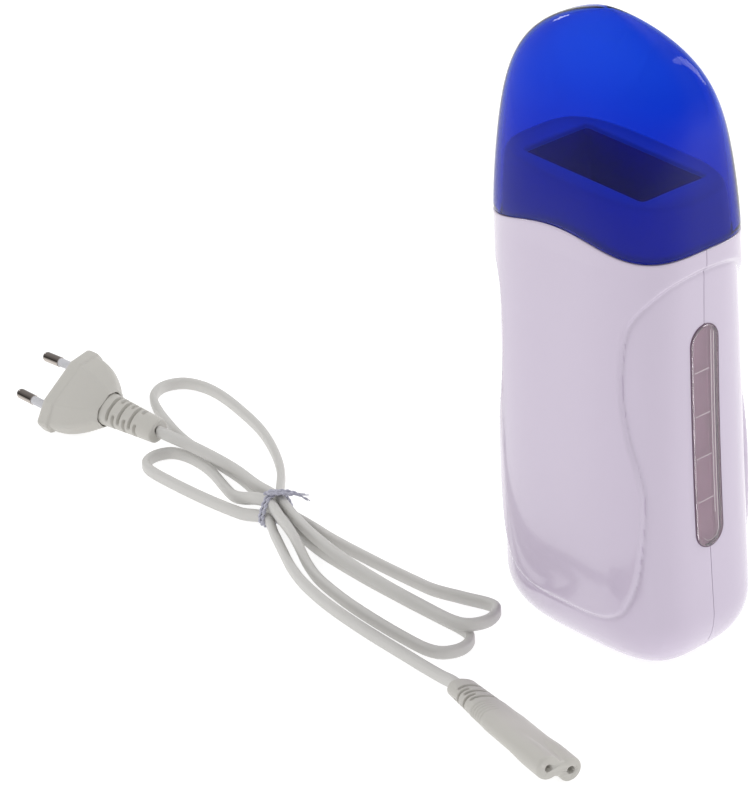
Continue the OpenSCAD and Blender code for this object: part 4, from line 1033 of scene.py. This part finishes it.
tie_parts = make_string("tie_turn_a", spline(tie_loop(-0.9, 0.3), 10))
tie_parts += make_string("tie_turn_b", spline(tie_loop(1.0, 1.6), 10))
tie_parts += make_string("tie_knot", spline(KNOT, 8))
tie_parts += make_string("tie_end", spline(STRING_END, 8))
for k, (root, tip) in enumerate(FRAYS):
    bow = (np.array(root) + np.array(tip)) / 2 + np.array([0.25, -0.1, 0.3 - 0.12 * k])
    tie_parts += make_string(f"tie_fray_{k}", spline([root, bow, tip], 6), FRAY_R, plies=1)
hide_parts("cord_tie")


# ---------------------------------------------------------------- light and floor
WHITE = (1, 1, 1, 1)
SKY_STRENGTH, FLOOR_GLOW = 0.52, 0.42
FLOOR_HALF, FLOOR_Z = 3000, -0.05


def white_for_camera(tree, shader_in, keep, strength):
    """Mixes plain white light of this strength over a shader, for rays from the camera, in mirrors and
    through glass. keep is the share of the shader that stays."""
    nodes, links = tree.nodes, tree.links
    way = nodes.new("ShaderNodeLightPath")
    first, second, share = (nodes.new("ShaderNodeMath") for _ in range(3))
    first.operation = second.operation = "MAXIMUM"
    share.operation = "MULTIPLY"
    share.inputs[1].default_value = 1 - keep
    links.new(way.outputs["Is Camera Ray"], first.inputs[0])
    links.new(way.outputs["Is Glossy Ray"], first.inputs[1])
    links.new(first.outputs[0], second.inputs[0])
    links.new(way.outputs["Is Transmission Ray"], second.inputs[1])
    links.new(second.outputs[0], share.inputs[0])
    mix = nodes.new("ShaderNodeMixShader")
    links.new(share.outputs[0], mix.inputs["Fac"])
    links.new(shader_in, mix.inputs[1])
    glow = nodes.new("ShaderNodeEmission" if keep else "ShaderNodeBackground")
    glow.inputs["Strength"].default_value = strength
    glow.inputs["Color"].default_value = WHITE
    links.new(glow.outputs[0], mix.inputs[2])
    return mix.outputs[0]


def make_world():
    """Even white sky, plain white where the camera sees it."""
    world = bpy.data.worlds.new("studio")
    world.use_nodes = True
    bpy.context.scene.world = world
    nodes, links = world.node_tree.nodes, world.node_tree.links
    sky = nodes["Background"]
    sky.inputs["Color"].default_value = WHITE
    sky.inputs["Strength"].default_value = SKY_STRENGTH
    seen = white_for_camera(world.node_tree, sky.outputs[0], 0, 1.0)
    links.new(seen, nodes["World Output"].inputs["Surface"])


def make_floor():
    """Large white floor that glows a little, so that it fades into the white behind it."""
    corners = [(x * FLOOR_HALF, y * FLOOR_HALF, FLOOR_Z) for x, y in ((-1, -1), (1, -1), (1, 1), (-1, 1))]
    floor = add_piece("floor", corners, [(0, 1, 2, 3)])
    material, _, links, shader = new_material("white_floor")
    shader.inputs["Base Color"].default_value = (0.93, 0.93, 0.93, 1)
    shader.inputs["Roughness"].default_value = 0.9
    shader.inputs["Specular IOR Level"].default_value = 0.1
    shader.inputs["Emission Color"].default_value = WHITE
    shader.inputs["Emission Strength"].default_value = FLOOR_GLOW
    seen = white_for_camera(material.node_tree, shader.outputs[0], 0.45, 1.12)
    links.new(seen, node_of(material, "OUTPUT_MATERIAL").inputs["Surface"])
    wear(floor, material)


def lamp(name, place, target, size, power, mirrored=False):
    """Oval soft light that faces its target; only a mirrored one shows as a highlight in glossy surfaces.
    Places and sizes are in metres."""
    data = bpy.data.lights.new(name, "AREA")
    data.shape, data.energy = "ELLIPSE", power
    data.size, data.size_y = size
    light = bpy.data.objects.new(name, data)
    back = unit(np.array(place, float) - np.array(target, float))
    side = unit(np.cross([0.01, 0, 1.0], back))
    light.visible_glossy, light.visible_transmission, light.visible_camera = mirrored, False, False
    stand(light, side, np.cross(back, side), back, place)


make_world()
make_floor()
lamp("key", (-0.9, -1.3, 1.5), (0, 0, 0.1), (0.9, 0.9), 11)
lamp("side", (1.5, 0.2, 0.9), (0, 0, 0.12), (0.7, 0.7), 2.5)
lamp("top", (0.3, 0.6, 1.6), (0, 0, 0.1), (0.8, 0.8), 3)
lamp("behind", (0.42, 1.38, 1.0), (0, 0, 0.19), (0.42, 1.1), 8, mirrored=True)
lamp("left", (-1.55, -0.15, 1.0), (0, 0, 0.2), (0.22, 0.22), 1.5, mirrored=True)

bpy.context.scene.view_settings.view_transform = "Standard"
